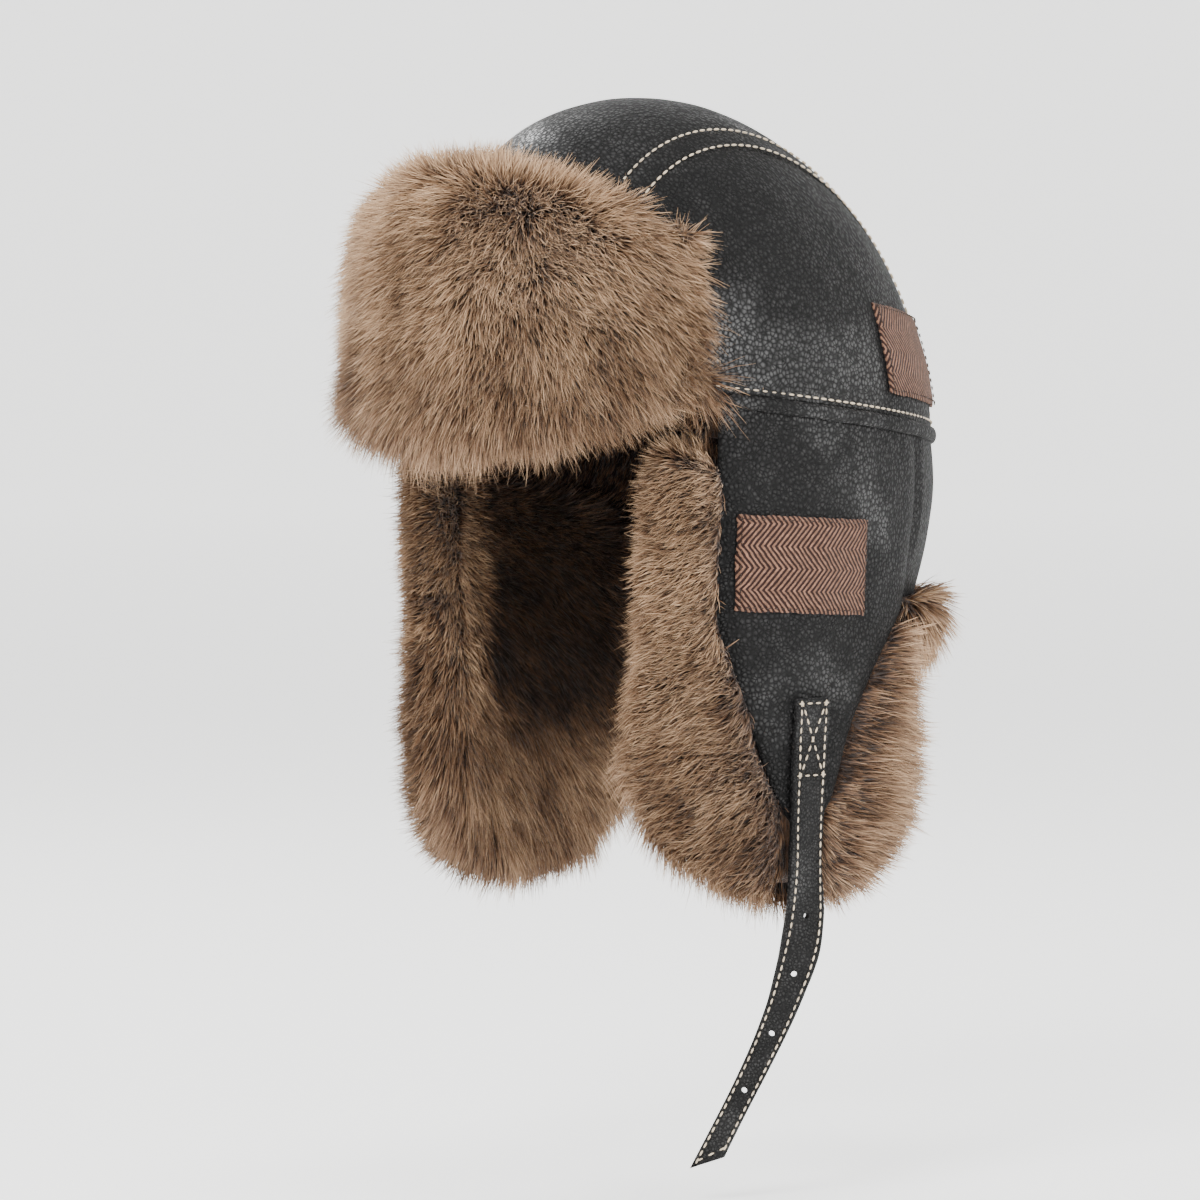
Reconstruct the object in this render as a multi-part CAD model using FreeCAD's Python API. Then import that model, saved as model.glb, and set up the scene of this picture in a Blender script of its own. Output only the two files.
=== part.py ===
import FreeCAD, Part
import math
import os

# Trapper hat, in millimetres. +Z is up, the wearer faces -Y and the wearer's left side is +X.
# The origin is the centre of the head opening, at the level of the hatband.

# Crown: half an ellipsoid, leaned forward, with its base plane lower at the back.
CROWN_A = 93.0
CROWN_B = 112.0
CROWN_C = 121.0
FORWARD_LEAN = 0.08
BACK_DROP = 0.12

# Below the hatband the leather hangs as an elliptical tube that narrows a little downwards.
TUBE_TAPER = 0.0004
TUBE_TOP = 30.0
TUBE_BOTTOM = -230.0

# Layers, as depths below the outer leather face; negative depths lie outside it.
LEATHER = 1.6
GAP = 0.2
WADDING_IN = 8.0
LINING_IN = 9.0
SWEATBAND_IN = 10.6
SWEATBAND_HEIGHT = 32.0
STRIP = 0.9
THREAD = 0.5
PATCH = 1.2
FUR_OUT = 5.0
FUR_IN = 20.0
NAPE_FUR_IN = 18.0
ROLL_OUT = -8.0

# Seams of the crown and the band at its foot.
SEAM_X = 47.0
STRIP_WIDTH = 7.0
THREAD_WIDTH = 0.7
THREAD_INSET = 1.1
STRAP_THREAD_INSET = 2.0
THREAD_CLEAR = 0.12
BAND_STITCH_Z = 2.2
LIP_HEIGHT = 5.5
LIP_OUT = -2.5
LIP_FRONT_Y = -54.0

# Fold line of the ear flaps: straight, outside the leather, falling towards the back.
FOLD_Z = -28.0
FOLD_SLOPE = math.radians(15.0)
FOLD_END = 58.0
FLAP_GAP = 0.4
FUR_DROP = 6.0
FLAP_FRONT_Y = -57.0
NAPE_BOTTOM = -78.0
NAPE_FUR_BOTTOM = -100.0

# Brow visor, folded up against the crown.
VISOR_INNER = (95.2, 114.2, 138.0)
VISOR_LEATHER = 1.5
VISOR_PADDING = 8.0
VISOR_OUTER = (122.0, 142.0, 160.0)
VISOR_BOTTOM = 3.0
VISOR_SAG = 12.0

# Chin strap on the left flap.
STRAP_Y = -18.0
STRAP_WIDTH = 16.5
STRAP_THICK = 3.0
STRAP_TOP = -112.0
STRAP_END = -190.6
SEWN_BOX_HEIGHT = 31
TAIL_HINGE = (88.4, STRAP_Y, -192.5)
TAIL_END_SHIFT = -38.0
TAIL_LENGTH = 102.0
TAIL_TURN = math.radians(52.0)
TAIL_TURNED_BY = 0.35  # share of the tail's length by which it has turned
TAIL_HOLES = (0.045, 0.27, 0.5, 0.72)
HOLE_R = 1.7

# Buckle tab on the right flap.
TAB_TOP = -112.0
TAB_SEWN_END = -134.4
TAB_WIDTH = 16.0
TAB_THICK = 2.5
TAB_HINGE_Z = -136.1
BAR_X = -91.4
BAR_Z = -152.5
BAR_R = 1.5
FRAME_WIDTH = 24.0
FRAME_BAR = 3.0
FRAME_THICK = 2.6
FRAME_END = -174.5
LUG_R = 3.3
RUNNING = 0.05
SIDE_GAP = 0.4
PRONG_R = 1.0
RING_R = 3.2
RING_WIDTH = 3.6
KEEPER_Z = -144.0
KEEPER_HEIGHT = 5.0
KEEPER_WALL = 1.3
KEEPER_ROOM = 4.6
KEEPER_SIDE_ROOM = 0.6

FAR = 260.0
V = FreeCAD.Vector
X_AXIS = V(1, 0, 0)
Y_AXIS = V(0, 1, 0)
Z_AXIS = V(0, 0, 1)


def leaned(a, b, c, shape):
    """Scale a unit shape to semi-axes a, b, c, lean it forward and drop its back."""
    matrix = FreeCAD.Matrix(
        a, 0, 0, 0,
        0, b, -FORWARD_LEAN * c, 0,
        0, -BACK_DROP * b, c, 0,
        0, 0, 0, 1,
    )
    return shape.transformGeometry(matrix)


def dome(a, b, c):
    return leaned(a, b, c, Part.makeSphere(1.0, V(0, 0, 0), Z_AXIS, 0, 90, 360))


def egg(a, b, c):
    return leaned(a, b, c, Part.makeSphere(1.0))


def crown_layer(outer, inner):
    """The part of the crown between two depths below its leather face."""
    outside = dome(CROWN_A - outer, CROWN_B - outer, CROWN_C - outer)
    inside = egg(CROWN_A - inner, CROWN_B - inner, CROWN_C - inner)
    return outside.cut(inside)


def tube_body(depth):
    """The elliptical tube under the hatband, at a depth below its leather face."""
    radius_top = 1 + TUBE_TAPER * TUBE_TOP
    radius_bottom = 1 + TUBE_TAPER * TUBE_BOTTOM
    cone = Part.makeCone(radius_bottom, radius_top, TUBE_TOP - TUBE_BOTTOM, V(0, 0, TUBE_BOTTOM))
    matrix = FreeCAD.Matrix(CROWN_A - depth, 0, 0, 0, 0, CROWN_B - depth, 0, 0, 0, 0, 1, 0, 0, 0, 0, 1)
    return cone.transformGeometry(matrix)


def tube_layer(outer, inner):
    return tube_body(outer).cut(tube_body(inner))


def box(low, high):
    size = V(*high) - V(*low)
    return Part.makeBox(size.x, size.y, size.z, V(*low))


def side_prism(outline, x_low=-FAR, x_high=FAR):
    """A closed outline of (y, z) points, or edges, carried along X."""
    if isinstance(outline[0], tuple):
        points = [V(x_low, y, z) for y, z in outline]
        wire = Part.makePolygon(points + points[:1])
    else:
        wire = Part.Wire(outline)
    return Part.Face(wire).extrude(V(x_high - x_low, 0, 0))


def plan_prism(outline):
    points = [V(x, y, -FAR) for x, y in outline]
    return Part.Face(Part.makePolygon(points + points[:1])).extrude(V(0, 0, 2 * FAR))


def band_slab(low, high, front=-FAR, back=FAR):
    """Everything between two heights above the sloping hatband plane."""
    corners = [(front, low), (back, low), (back, high), (front, high)]
    return side_prism([(y, z - BACK_DROP * y) for y, z in corners])


def only_left(shape):
    return shape.common(box((0, -FAR, -FAR), (FAR, FAR, FAR)))


def mirrored(shape):
    return shape.mirror(V(0, 0, 0), X_AXIS)


def fold_point(along, below):
    """The (y, z) of a place along the fold line and below it, square to it."""
    y = along * math.cos(FOLD_SLOPE) - below * math.sin(FOLD_SLOPE)
    z = FOLD_Z - along * math.sin(FOLD_SLOPE) - below * math.cos(FOLD_SLOPE)
    return y, z


def fold_at(y, below=0.0):
    """The point on the fold line above a given y, or a parallel line under it."""
    return y, FOLD_Z - y * math.tan(FOLD_SLOPE) - below


def cut_at(z, along):
    """The point at height z on the line square to the fold at a distance along it."""
    y = (along - (FOLD_Z - z) * math.sin(FOLD_SLOPE)) / math.cos(FOLD_SLOPE)
    return y, z


def outline_edges(corners, curve):
    """Straight edges through the corners, closed by a smooth curve from the last to the first."""
    points = [V(-FAR, y, z) for y, z in corners]
    edges = [Part.makeLine(a, b) for a, b in zip(points, points[1:])]
    spline = Part.BSplineCurve()
    spline.interpolate([points[-1]] + [V(-FAR, y, z) for y, z in curve] + [points[0]])
    return edges + [spline.toShape()]


# ---- Crown -------------------------------------------------------------------------------------


def crown_panels():
    skin = crown_layer(0, LEATHER)
    middle = box((-SEAM_X, -FAR, -FAR), (SEAM_X, FAR, FAR))
    left = box((SEAM_X, -FAR, -FAR), (FAR, FAR, FAR))
    return {
        "crown_centre_panel": skin.common(middle),
        "crown_side_panel_left": skin.common(left),
        "crown_side_panel_right": skin.common(mirrored(left)),
    }


def crown_seams():
    """The covering strip on each seam and its two rows of thread."""
    strip_skin = crown_layer(-STRIP, 0)
    thread_skin = crown_layer(-STRIP - THREAD, -STRIP)
    above_band = band_slab(2 * BAND_STITCH_Z, FAR)
    seen = band_slab(2 * BAND_STITCH_Z, FAR, -STRIP_WIDTH * 6)
    half = STRIP_WIDTH / 2
    strip = box((SEAM_X - half, -FAR, -FAR), (SEAM_X + half, FAR, FAR))
    rows = []
    for side in (-1, 1):
        middle = SEAM_X + side * (half - THREAD_INSET)
        row = box((middle - THREAD_WIDTH / 2, -FAR, -FAR), (middle + THREAD_WIDTH / 2, FAR, FAR))
        rows.append(thread_skin.common(row).common(seen))
    left_strip = strip_skin.common(strip).common(above_band)
    left_thread = Part.makeCompound([solid for row in rows for solid in row.Solids])
    return {
        "seam_strip_left": left_strip,
        "seam_strip_right": mirrored(left_strip),
        "seam_stitching_left": left_thread,
        "seam_stitching_right": mirrored(left_thread),
    }


def crown_inside():
    band = band_slab(GAP, SWEATBAND_HEIGHT)
    return {
        "crown_wadding": crown_layer(LEATHER + GAP, WADDING_IN),
        "crown_lining": crown_layer(WADDING_IN + GAP / 2, LINING_IN),
        "sweatband": crown_layer(LINING_IN + GAP, SWEATBAND_IN).common(band),
    }


def hatband():
    lip = tube_layer(LIP_OUT, 0).common(band_slab(-LIP_HEIGHT, 0, LIP_FRONT_Y))
    row = band_slab(BAND_STITCH_Z, BAND_STITCH_Z + THREAD_WIDTH, LIP_FRONT_Y)
    return {
        "hatband_lip": lip,
        "hatband_stitching": crown_layer(-THREAD, 0).common(row),
    }


def patch_with_thread(skin, thread_skin, area, inner_area, core_area):
    """A cloth patch and the thread that runs round it a little way in from its edge."""
    patch = skin.common(area)
    thread = thread_skin.common(inner_area).cut(core_area)
    return patch, thread


def rear_crown_patch():
    low, high, inset = 9.0, 44.0, 2.5

    def area(margin):
        first = math.atan2(28.0, 87.0) + margin / CROWN_B
        last = math.atan2(84.0, 57.0) - margin / CROWN_B
        rays = [(FAR * math.cos(a), FAR * math.sin(a)) for a in (first, (first + last) / 2, last)]
        return plan_prism([(0, 0)] + rays).common(band_slab(low + margin, high - margin))

    skin = crown_layer(-PATCH, -GAP / 2)
    thread_skin = crown_layer(-PATCH - THREAD, -PATCH)
    areas = [area(0), area(inset), area(inset + THREAD_WIDTH)]
    patch, thread = patch_with_thread(skin, thread_skin, *areas)
    return {"rear_crown_patch": patch, "rear_patch_stitching": thread}


# ---- Neck curtain ------------------------------------------------------------------------------


def curtain_outline(bottom, top_gap):
    """The fixed leather or fur under the hatband: sides above the fold line, and the nape."""
    along = FOLD_END + FLAP_GAP
    return [
        (FLAP_FRONT_Y, -BACK_DROP * FLAP_FRONT_Y - top_gap),
        fold_at(FLAP_FRONT_Y),
        fold_point(along, 0),
        cut_at(bottom, along),
        (FAR / 2, bottom + 4),
        (FAR / 2, -BACK_DROP * FAR / 2 - top_gap),
    ]


def neck_curtain():
    leather = tube_layer(0, LEATHER).common(
        side_prism(curtain_outline(NAPE_BOTTOM, 0))
    )
    fur_area = side_prism(curtain_outline(NAPE_FUR_BOTTOM, GAP))
    lining = tube_layer(LEATHER + GAP, NAPE_FUR_IN).common(fur_area)
    roll_low = cut_at(NAPE_FUR_BOTTOM, FOLD_END + FLAP_GAP)
    roll_high = cut_at(NAPE_BOTTOM - GAP, FOLD_END + FLAP_GAP)
    roll_area = side_prism([
        roll_high,
        roll_low,
        (FAR / 2, NAPE_FUR_BOTTOM + 4),
        (FAR / 2, NAPE_BOTTOM + 4 - GAP),
    ])
    roll = tube_layer(ROLL_OUT, NAPE_FUR_IN).common(roll_area)
    return {"neck_curtain": leather, "nape_fur": lining.fuse(roll).removeSplitter()}


# ---- Ear flaps ---------------------------------------------------------------------------------


def flap_leather_area(margin=0.0):
    """The tapered leather tongue: straight at the front, the fold and the nape, curved below."""
    end = FOLD_END - margin
    corners = [
        cut_at(NAPE_BOTTOM - 2, end),
        fold_point(end, FLAP_GAP + margin),
        fold_at(FLAP_FRONT_Y + margin, FLAP_GAP + margin),
        (FLAP_FRONT_Y + margin, -85.0),
    ]
    curve = [
        (-43 + margin, -118.0),
        (-31 + margin, -152.0),
        (-16.0, -164.0 + margin),
        (0 - margin, -152.0),
        (12 - margin, -120.0),
        (28 - margin, -98.0 + margin),
    ]
    return side_prism(outline_edges(corners, curve))


def flap_fur_area():
    """The wide, rounded fur lining that the leather tongue is sewn on."""
    front = -80.0
    corners = [
        cut_at(-103.0, FOLD_END - GAP),
        fold_point(FOLD_END - GAP, FUR_DROP),
        fold_at(front, FUR_DROP),
        (front, -130.0),
    ]
    curve = [(-70.0, -166.0), (-40.0, -186.0), (-8.0, -189.0), (24.0, -180.0), (42.0, -156.0), (45.0, -125.0)]
    return side_prism(outline_edges(corners, curve))


def strap_corridor(width):
    """The strip of fur that lies pressed flat under a strap or a buckle."""
    half = width / 2
    outside = tube_layer(-30, 0)
    return outside.common(box((0, STRAP_Y - half, TUBE_BOTTOM), (FAR, STRAP_Y + half, STRAP_TOP)))


def flap_fur(corridor_width):
    area = flap_fur_area()
    lining = tube_layer(FUR_OUT, FUR_IN).common(area)
    rim_area = area.cut(flap_leather_area(-GAP * 2))
    rim = tube_layer(ROLL_OUT, FUR_IN).common(rim_area).cut(strap_corridor(corridor_width))
    return only_left(lining.fuse(rim).removeSplitter())


def flap_core():
    """Leather and wadding of the left flap; the right flap mirrors them."""
    leather = only_left(tube_layer(0, LEATHER).common(flap_leather_area()))
    wadding = only_left(tube_layer(LEATHER + GAP, FUR_OUT - GAP).common(flap_leather_area(2.5)))
    return leather, wadding


def flap_patch():
    front, back, top, bottom, inset = -50.0, 12.5, -40.0, -77.5, 2.5

    def area(margin):
        drop = 3.5
        return side_prism([
            (front + margin, top - margin),
            (back - margin, top - drop - margin),
            (back - margin, bottom - drop + margin),
            (front + margin, bottom + margin),
        ], 0)

    areas = [area(0), area(inset), area(inset + THREAD_WIDTH)]
    skin = tube_layer(-PATCH, -GAP / 2)
    thread_skin = tube_layer(-PATCH - THREAD, -PATCH)
    patch, thread = patch_with_thread(skin, thread_skin, *areas)
    return {"left_flap_patch": patch, "left_patch_stitching": thread}


# ---- Chin strap --------------------------------------------------------------------------------


def strap_sewn_end():
    half = STRAP_WIDTH / 2
    area = box((0, STRAP_Y - half, STRAP_END), (FAR, STRAP_Y + half, STRAP_TOP))
    strap = tube_layer(-STRAP_THICK, -GAP / 2).common(area)
    frame = []
    inset = STRAP_THREAD_INSET
    box_end = STRAP_TOP - SEWN_BOX_HEIGHT
    skin = tube_layer(-STRAP_THICK - THREAD, -STRAP_THICK)
    outer = box((0, STRAP_Y - half + inset, box_end), (FAR, STRAP_Y + half - inset, STRAP_TOP - inset))
    inset += THREAD_WIDTH
    inner = box(
        (0, STRAP_Y - half + inset, box_end + THREAD_WIDTH),
        (FAR, STRAP_Y + half - inset, STRAP_TOP - inset),
    )
    frame.append(skin.common(outer).cut(inner))
    middle_z = (box_end + STRAP_TOP) / 2
    cross_half = middle_z - box_end - 1.5
    reach = math.hypot(STRAP_WIDTH / 2 - inset, cross_half) - 1
    tilt = math.degrees(math.atan2(STRAP_WIDTH / 2 - inset, cross_half))
    cross = []
    for turn in (-tilt, tilt):
        bar = box((0, -THREAD_WIDTH / 2, -reach), (FAR, THREAD_WIDTH / 2, reach))
        bar.rotate(V(0, 0, 0), X_AXIS, turn)
        bar.translate(V(0, STRAP_Y, middle_z))
        cross.append(bar)
    frame.append(skin.common(cross[0].fuse(cross[1])))
    thread = Part.makeCompound([solid for piece in frame for solid in piece.Solids])
    return {"chin_strap_sewn_end": strap, "strap_box_stitching": thread}


def tail_section(part, width, thick, face=0.0):
    """A rectangle across the tail at a share of its length; it turns and bends as it hangs."""
    eased = part * part * (1.7 - 0.7 * part)
    turned = min(1.0, part / TAIL_TURNED_BY)
    turn = TAIL_TURN * turned
    across = V(math.sin(turn), math.cos(turn), 0)
    normal = V(math.cos(turn), -math.sin(turn), 0)
    sideways = V(math.sin(TAIL_TURN), math.cos(TAIL_TURN), 0) * (TAIL_END_SHIFT * eased)
    centre = V(*TAIL_HINGE) + sideways - Z_AXIS * (TAIL_LENGTH * part) + normal * face
    lean = math.atan2(-TAIL_END_SHIFT * part * (3.4 - 2.1 * part), TAIL_LENGTH) * turned
    across_leaned = across * math.cos(lean) + Z_AXIS * math.sin(lean)
    return centre, across_leaned * (width / 2), normal * (thick / 2)


def tail_loft(width, thick, face=0.0, shift=0.0, first=0.0, last=1.0, steps=12):
    wires = []
    for index in range(steps + 1):
        part = first + (last - first) * index / steps
        centre, half_width, half_thick = tail_section(part, width, thick, face)
        centre = centre + half_width * (2 * shift / width)
        corners = [
            centre - half_width - half_thick,
            centre + half_width - half_thick,
            centre + half_width + half_thick,
            centre - half_width + half_thick,
        ]
        wires.append(Part.makePolygon(corners + corners[:1]))
    return Part.makeLoft(wires, True, True)


def chin_strap_tail():
    knuckle = Part.makeCylinder(
        STRAP_THICK / 2, STRAP_WIDTH, V(*TAIL_HINGE) - Y_AXIS * (STRAP_WIDTH / 2), Y_AXIS
    )
    tail = tail_loft(STRAP_WIDTH, STRAP_THICK).fuse(knuckle)
    for part in TAIL_HOLES:
        centre, _, half_thick = tail_section(part, STRAP_WIDTH, STRAP_THICK)
        direction = half_thick / half_thick.Length
        tail = tail.cut(Part.makeCylinder(HOLE_R, 20, centre - direction * 10, direction))
    face = (STRAP_THICK + THREAD) / 2 + THREAD_CLEAR
    edge = STRAP_WIDTH / 2 - STRAP_THREAD_INSET
    rows = [tail_loft(THREAD_WIDTH, THREAD, face, side * edge, 0.04, 0.96) for side in (-1, 1)]
    return {"chin_strap_tail": tail, "tail_edge_stitching": Part.makeCompound(rows)}


# ---- Buckle ------------------------------------------------------------------------------------


def tab_sewn_end():
    half = TAB_WIDTH / 2
    area = box((0, STRAP_Y - half, TAB_SEWN_END), (FAR, STRAP_Y + half, TAB_TOP))
    inset = STRAP_THREAD_INSET
    outer = box((0, STRAP_Y - half + inset, TAB_SEWN_END + 3), (FAR, STRAP_Y + half - inset, TAB_TOP - inset))
    inset += THREAD_WIDTH
    inner = box(
        (0, STRAP_Y - half + inset, TAB_SEWN_END + 3 + THREAD_WIDTH),
        (FAR, STRAP_Y + half - inset, TAB_TOP - inset),
    )
    depth = 2 * TAB_THICK
    tab = tube_layer(-depth, -GAP / 2).common(area)
    thread = tube_layer(-depth - THREAD, -depth).common(outer).cut(inner)
    return {"buckle_tab_sewn_end": mirrored(tab), "tab_stitching": mirrored(thread)}


def rod(radius, x, z, y_low, y_high):
    return Part.makeCylinder(radius, y_high - y_low, V(x, STRAP_Y + y_low, z), Y_AXIS)


def buckle_tab():
    """The free end of the tab: a flat strip with two lugs that hold the bar."""
    half = TAB_WIDTH / 2
    x_low = BAR_X - TAB_THICK / 2
    strip = box(
        (x_low, STRAP_Y - half, BAR_Z + LUG_R - 1),
        (x_low + TAB_THICK, STRAP_Y + half, TAB_HINGE_Z),
    )
    strip = strip.fuse(rod(TAB_THICK / 2, BAR_X, TAB_HINGE_Z, -half, half))
    slot_half = RING_WIDTH / 2 + SIDE_GAP
    lug_end = FRAME_WIDTH / 2 - FRAME_BAR - SIDE_GAP
    lugs = rod(LUG_R, BAR_X, BAR_Z, -lug_end, lug_end)
    slot = box(
        (BAR_X - 8, STRAP_Y - slot_half, BAR_Z - 8),
        (BAR_X + 8, STRAP_Y + slot_half, BAR_Z + LUG_R + 1),
    )
    bore = rod(BAR_R + RUNNING, BAR_X, BAR_Z, -FRAME_WIDTH, FRAME_WIDTH)
    return strip.fuse(lugs).cut(slot).cut(bore).removeSplitter()


def keeper_loop():
    """A leather loop round the tab, with room for the strap's end on its outer side."""
    inside_x = BAR_X + TAB_THICK / 2 + GAP
    outside_x = BAR_X - TAB_THICK / 2 - KEEPER_ROOM
    half = STRAP_WIDTH / 2 + KEEPER_SIDE_ROOM
    z_low = KEEPER_Z - KEEPER_HEIGHT / 2
    z_high = KEEPER_Z + KEEPER_HEIGHT / 2
    wall = KEEPER_WALL
    outer = box(
        (outside_x - wall, STRAP_Y - half - wall, z_low),
        (inside_x + wall, STRAP_Y + half + wall, z_high),
    )
    inner = box((outside_x, STRAP_Y - half, z_low - 1), (inside_x, STRAP_Y + half, z_high + 1))
    return outer.cut(inner)


def buckle_frame():
    half = FRAME_WIDTH / 2
    x_low = BAR_X - FRAME_THICK / 2
    x_high = BAR_X + FRAME_THICK / 2
    outer = box((x_low, STRAP_Y - half, FRAME_END), (x_high, STRAP_Y + half, BAR_Z))
    ends = rod(FRAME_BAR / 2 + 0.9, BAR_X, BAR_Z, -half, half)
    inner_half = half - FRAME_BAR
    inner = box(
        (x_low - 9, STRAP_Y - inner_half, FRAME_END + FRAME_BAR),
        (x_high + 9, STRAP_Y + inner_half, BAR_Z + 9),
    )
    corners = [
        edge for edge in outer.Edges
        if abs(edge.tangentAt(0).x) > 0.9 and edge.CenterOfMass.z < BAR_Z - 5
    ]
    frame = outer.makeFillet(3.0, corners).fuse(ends).cut(inner)
    bar = rod(BAR_R, BAR_X, BAR_Z, -half, half)
    return {"buckle_frame": frame.cut(bar), "buckle_bar": bar}


def buckle_prong():
    ring = rod(RING_R, BAR_X, BAR_Z, -RING_WIDTH / 2, RING_WIDTH / 2)
    x = BAR_X - FRAME_THICK / 2 - PRONG_R - 0.3
    tongue = Part.makeCylinder(PRONG_R, BAR_Z - FRAME_END + 0.5, V(x, STRAP_Y, FRAME_END - 0.5), Z_AXIS)
    bore = rod(BAR_R + RUNNING, BAR_X, BAR_Z, -RING_WIDTH, RING_WIDTH)
    return ring.fuse(tongue).cut(bore)


# ---- Visor -------------------------------------------------------------------------------------


def visor_area():
    """Rounded in front view, lower in the middle, and open at the sides where the ear flaps begin."""
    half = [(88.0, VISOR_BOTTOM), (88.0, 26.0), (82.0, 56.0), (63.0, 82.0), (33.0, 94.0), (0.0, 97.5)]
    right = [V(x, -FAR, z) for x, z in half]
    left = [V(-x, -FAR, z) for x, z in reversed(half[:-1])]
    top = Part.BSplineCurve()
    top.interpolate(right[1:] + left[:-1])
    bottom = Part.BSplineCurve()
    bottom.interpolate([left[-1], V(0, -FAR, VISOR_BOTTOM - VISOR_SAG), right[0]])
    edges = [
        bottom.toShape(),
        Part.makeLine(right[0], right[1]),
        top.toShape(),
        Part.makeLine(left[-2], left[-1]),
    ]
    front = Part.Face(Part.Wire(edges)).extrude(V(0, FAR, 0))
    wedge = plan_prism([(0, 0), (150, -105), (150, -FAR), (-150, -FAR), (-150, -105)])
    return front.common(wedge)


def grown(semi_axes, amount):
    return [axis + amount for axis in semi_axes]


def visor():
    area = visor_area()
    leather_face = grown(VISOR_INNER, VISOR_LEATHER)
    padding_face = grown(VISOR_INNER, VISOR_PADDING)
    shells = {
        "visor_leather": egg(*leather_face).cut(egg(*VISOR_INNER)),
        "visor_padding": egg(*padding_face).cut(egg(*grown(leather_face, GAP))),
        "visor_fur": egg(*VISOR_OUTER).cut(egg(*grown(padding_face, GAP))),
    }
    return {name: shell.common(area) for name, shell in shells.items()}


def build():
    parts = {}
    parts.update(crown_panels())
    parts.update(crown_seams())
    parts.update(crown_inside())
    parts.update(hatband())
    parts.update(rear_crown_patch())
    parts.update(neck_curtain())
    leather, wadding = flap_core()
    parts["left_flap_leather"] = leather
    parts["right_flap_leather"] = mirrored(leather)
    parts["left_flap_wadding"] = wadding
    parts["right_flap_wadding"] = mirrored(wadding)
    parts["left_flap_fur"] = flap_fur(STRAP_WIDTH + 2)
    parts["right_flap_fur"] = mirrored(flap_fur(FRAME_WIDTH + 4))
    parts.update(flap_patch())
    parts.update(strap_sewn_end())
    parts.update(chin_strap_tail())
    parts.update(tab_sewn_end())
    parts["buckle_tab"] = buckle_tab()
    parts["keeper_loop"] = keeper_loop()
    parts.update(buckle_frame())
    parts["buckle_prong"] = buckle_prong()
    parts.update(visor())
    return parts


os.makedirs("parts", exist_ok=True)
for name, shape in build().items():
    shape.exportStep("parts/" + name + ".step")
    print(f"{name:26s} solids {len(shape.Solids)} valid {shape.isValid()} volume {shape.Volume:.0f}")
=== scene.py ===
import math

import bmesh
import bpy
import numpy as np
from mathutils import Matrix, Vector, noise


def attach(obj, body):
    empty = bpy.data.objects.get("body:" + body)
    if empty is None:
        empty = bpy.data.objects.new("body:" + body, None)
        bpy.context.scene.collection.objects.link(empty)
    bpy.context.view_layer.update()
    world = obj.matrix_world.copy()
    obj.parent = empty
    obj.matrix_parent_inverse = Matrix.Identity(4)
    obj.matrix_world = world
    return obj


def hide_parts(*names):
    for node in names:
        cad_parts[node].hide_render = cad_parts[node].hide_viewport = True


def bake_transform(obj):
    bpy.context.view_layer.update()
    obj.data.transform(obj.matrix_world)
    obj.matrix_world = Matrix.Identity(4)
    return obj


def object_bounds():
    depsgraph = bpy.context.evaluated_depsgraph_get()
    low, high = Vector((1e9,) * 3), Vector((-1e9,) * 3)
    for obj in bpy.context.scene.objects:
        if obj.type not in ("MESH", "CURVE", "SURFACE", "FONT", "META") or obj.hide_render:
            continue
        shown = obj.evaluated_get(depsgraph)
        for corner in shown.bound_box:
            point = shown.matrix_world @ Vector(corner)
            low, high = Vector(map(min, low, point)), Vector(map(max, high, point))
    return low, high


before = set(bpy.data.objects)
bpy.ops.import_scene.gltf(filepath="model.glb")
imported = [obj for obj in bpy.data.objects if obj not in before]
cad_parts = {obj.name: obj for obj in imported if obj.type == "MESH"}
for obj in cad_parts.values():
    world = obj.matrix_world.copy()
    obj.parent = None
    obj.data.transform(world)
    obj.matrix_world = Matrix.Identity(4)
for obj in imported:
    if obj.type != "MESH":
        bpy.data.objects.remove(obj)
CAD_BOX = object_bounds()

bl_info = {
    "name": "Trapper hat",
    "version": (1, 0, 0),
    "blender": (4, 5, 0),
    "location": "View3D > Sidebar > Trapper Hat",
    "description": "Makes a leather trapper hat with fur visor, ear flaps, chin strap and buckle",
    "category": "Add Mesh",
}

MM = 0.001
SIDES = (("left", 1), ("right", -1))
LEATHER_THICK = 0.0013
FOLD_SLOPE = math.radians(15.0)
FOLD_Z = -0.028
UP = Vector((0, 0, 1))
TAIL_HINGE = Vector((0.0884, -0.018, -0.1925))


# ---- Sizes and colours that a user would change ------------------------------------------------


class HatShape(bpy.types.PropertyGroup):
    half_width: bpy.props.FloatProperty(
        name="Half Width", description="Half the crown's width at the hatband", default=0.093, unit="LENGTH"
    )
    half_depth: bpy.props.FloatProperty(
        name="Half Depth", description="Half the crown's depth at the hatband", default=0.112, unit="LENGTH"
    )
    height: bpy.props.FloatProperty(
        name="Height", description="Height of the crown above the hatband", default=0.121, unit="LENGTH"
    )
    lean: bpy.props.FloatProperty(
        name="Forward Lean", description="How far the top moves forward for its height", default=0.08
    )
    drop: bpy.props.FloatProperty(
        name="Back Drop", description="How far the hatband falls towards the back", default=0.12
    )
    taper: bpy.props.FloatProperty(
        name="Taper", description="Share by which the neck narrows for each metre down", default=0.4
    )
    seam_x: bpy.props.FloatProperty(
        name="Seam Place", description="Distance of the crown seams from the middle", default=0.047,
        unit="LENGTH",
    )


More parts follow.
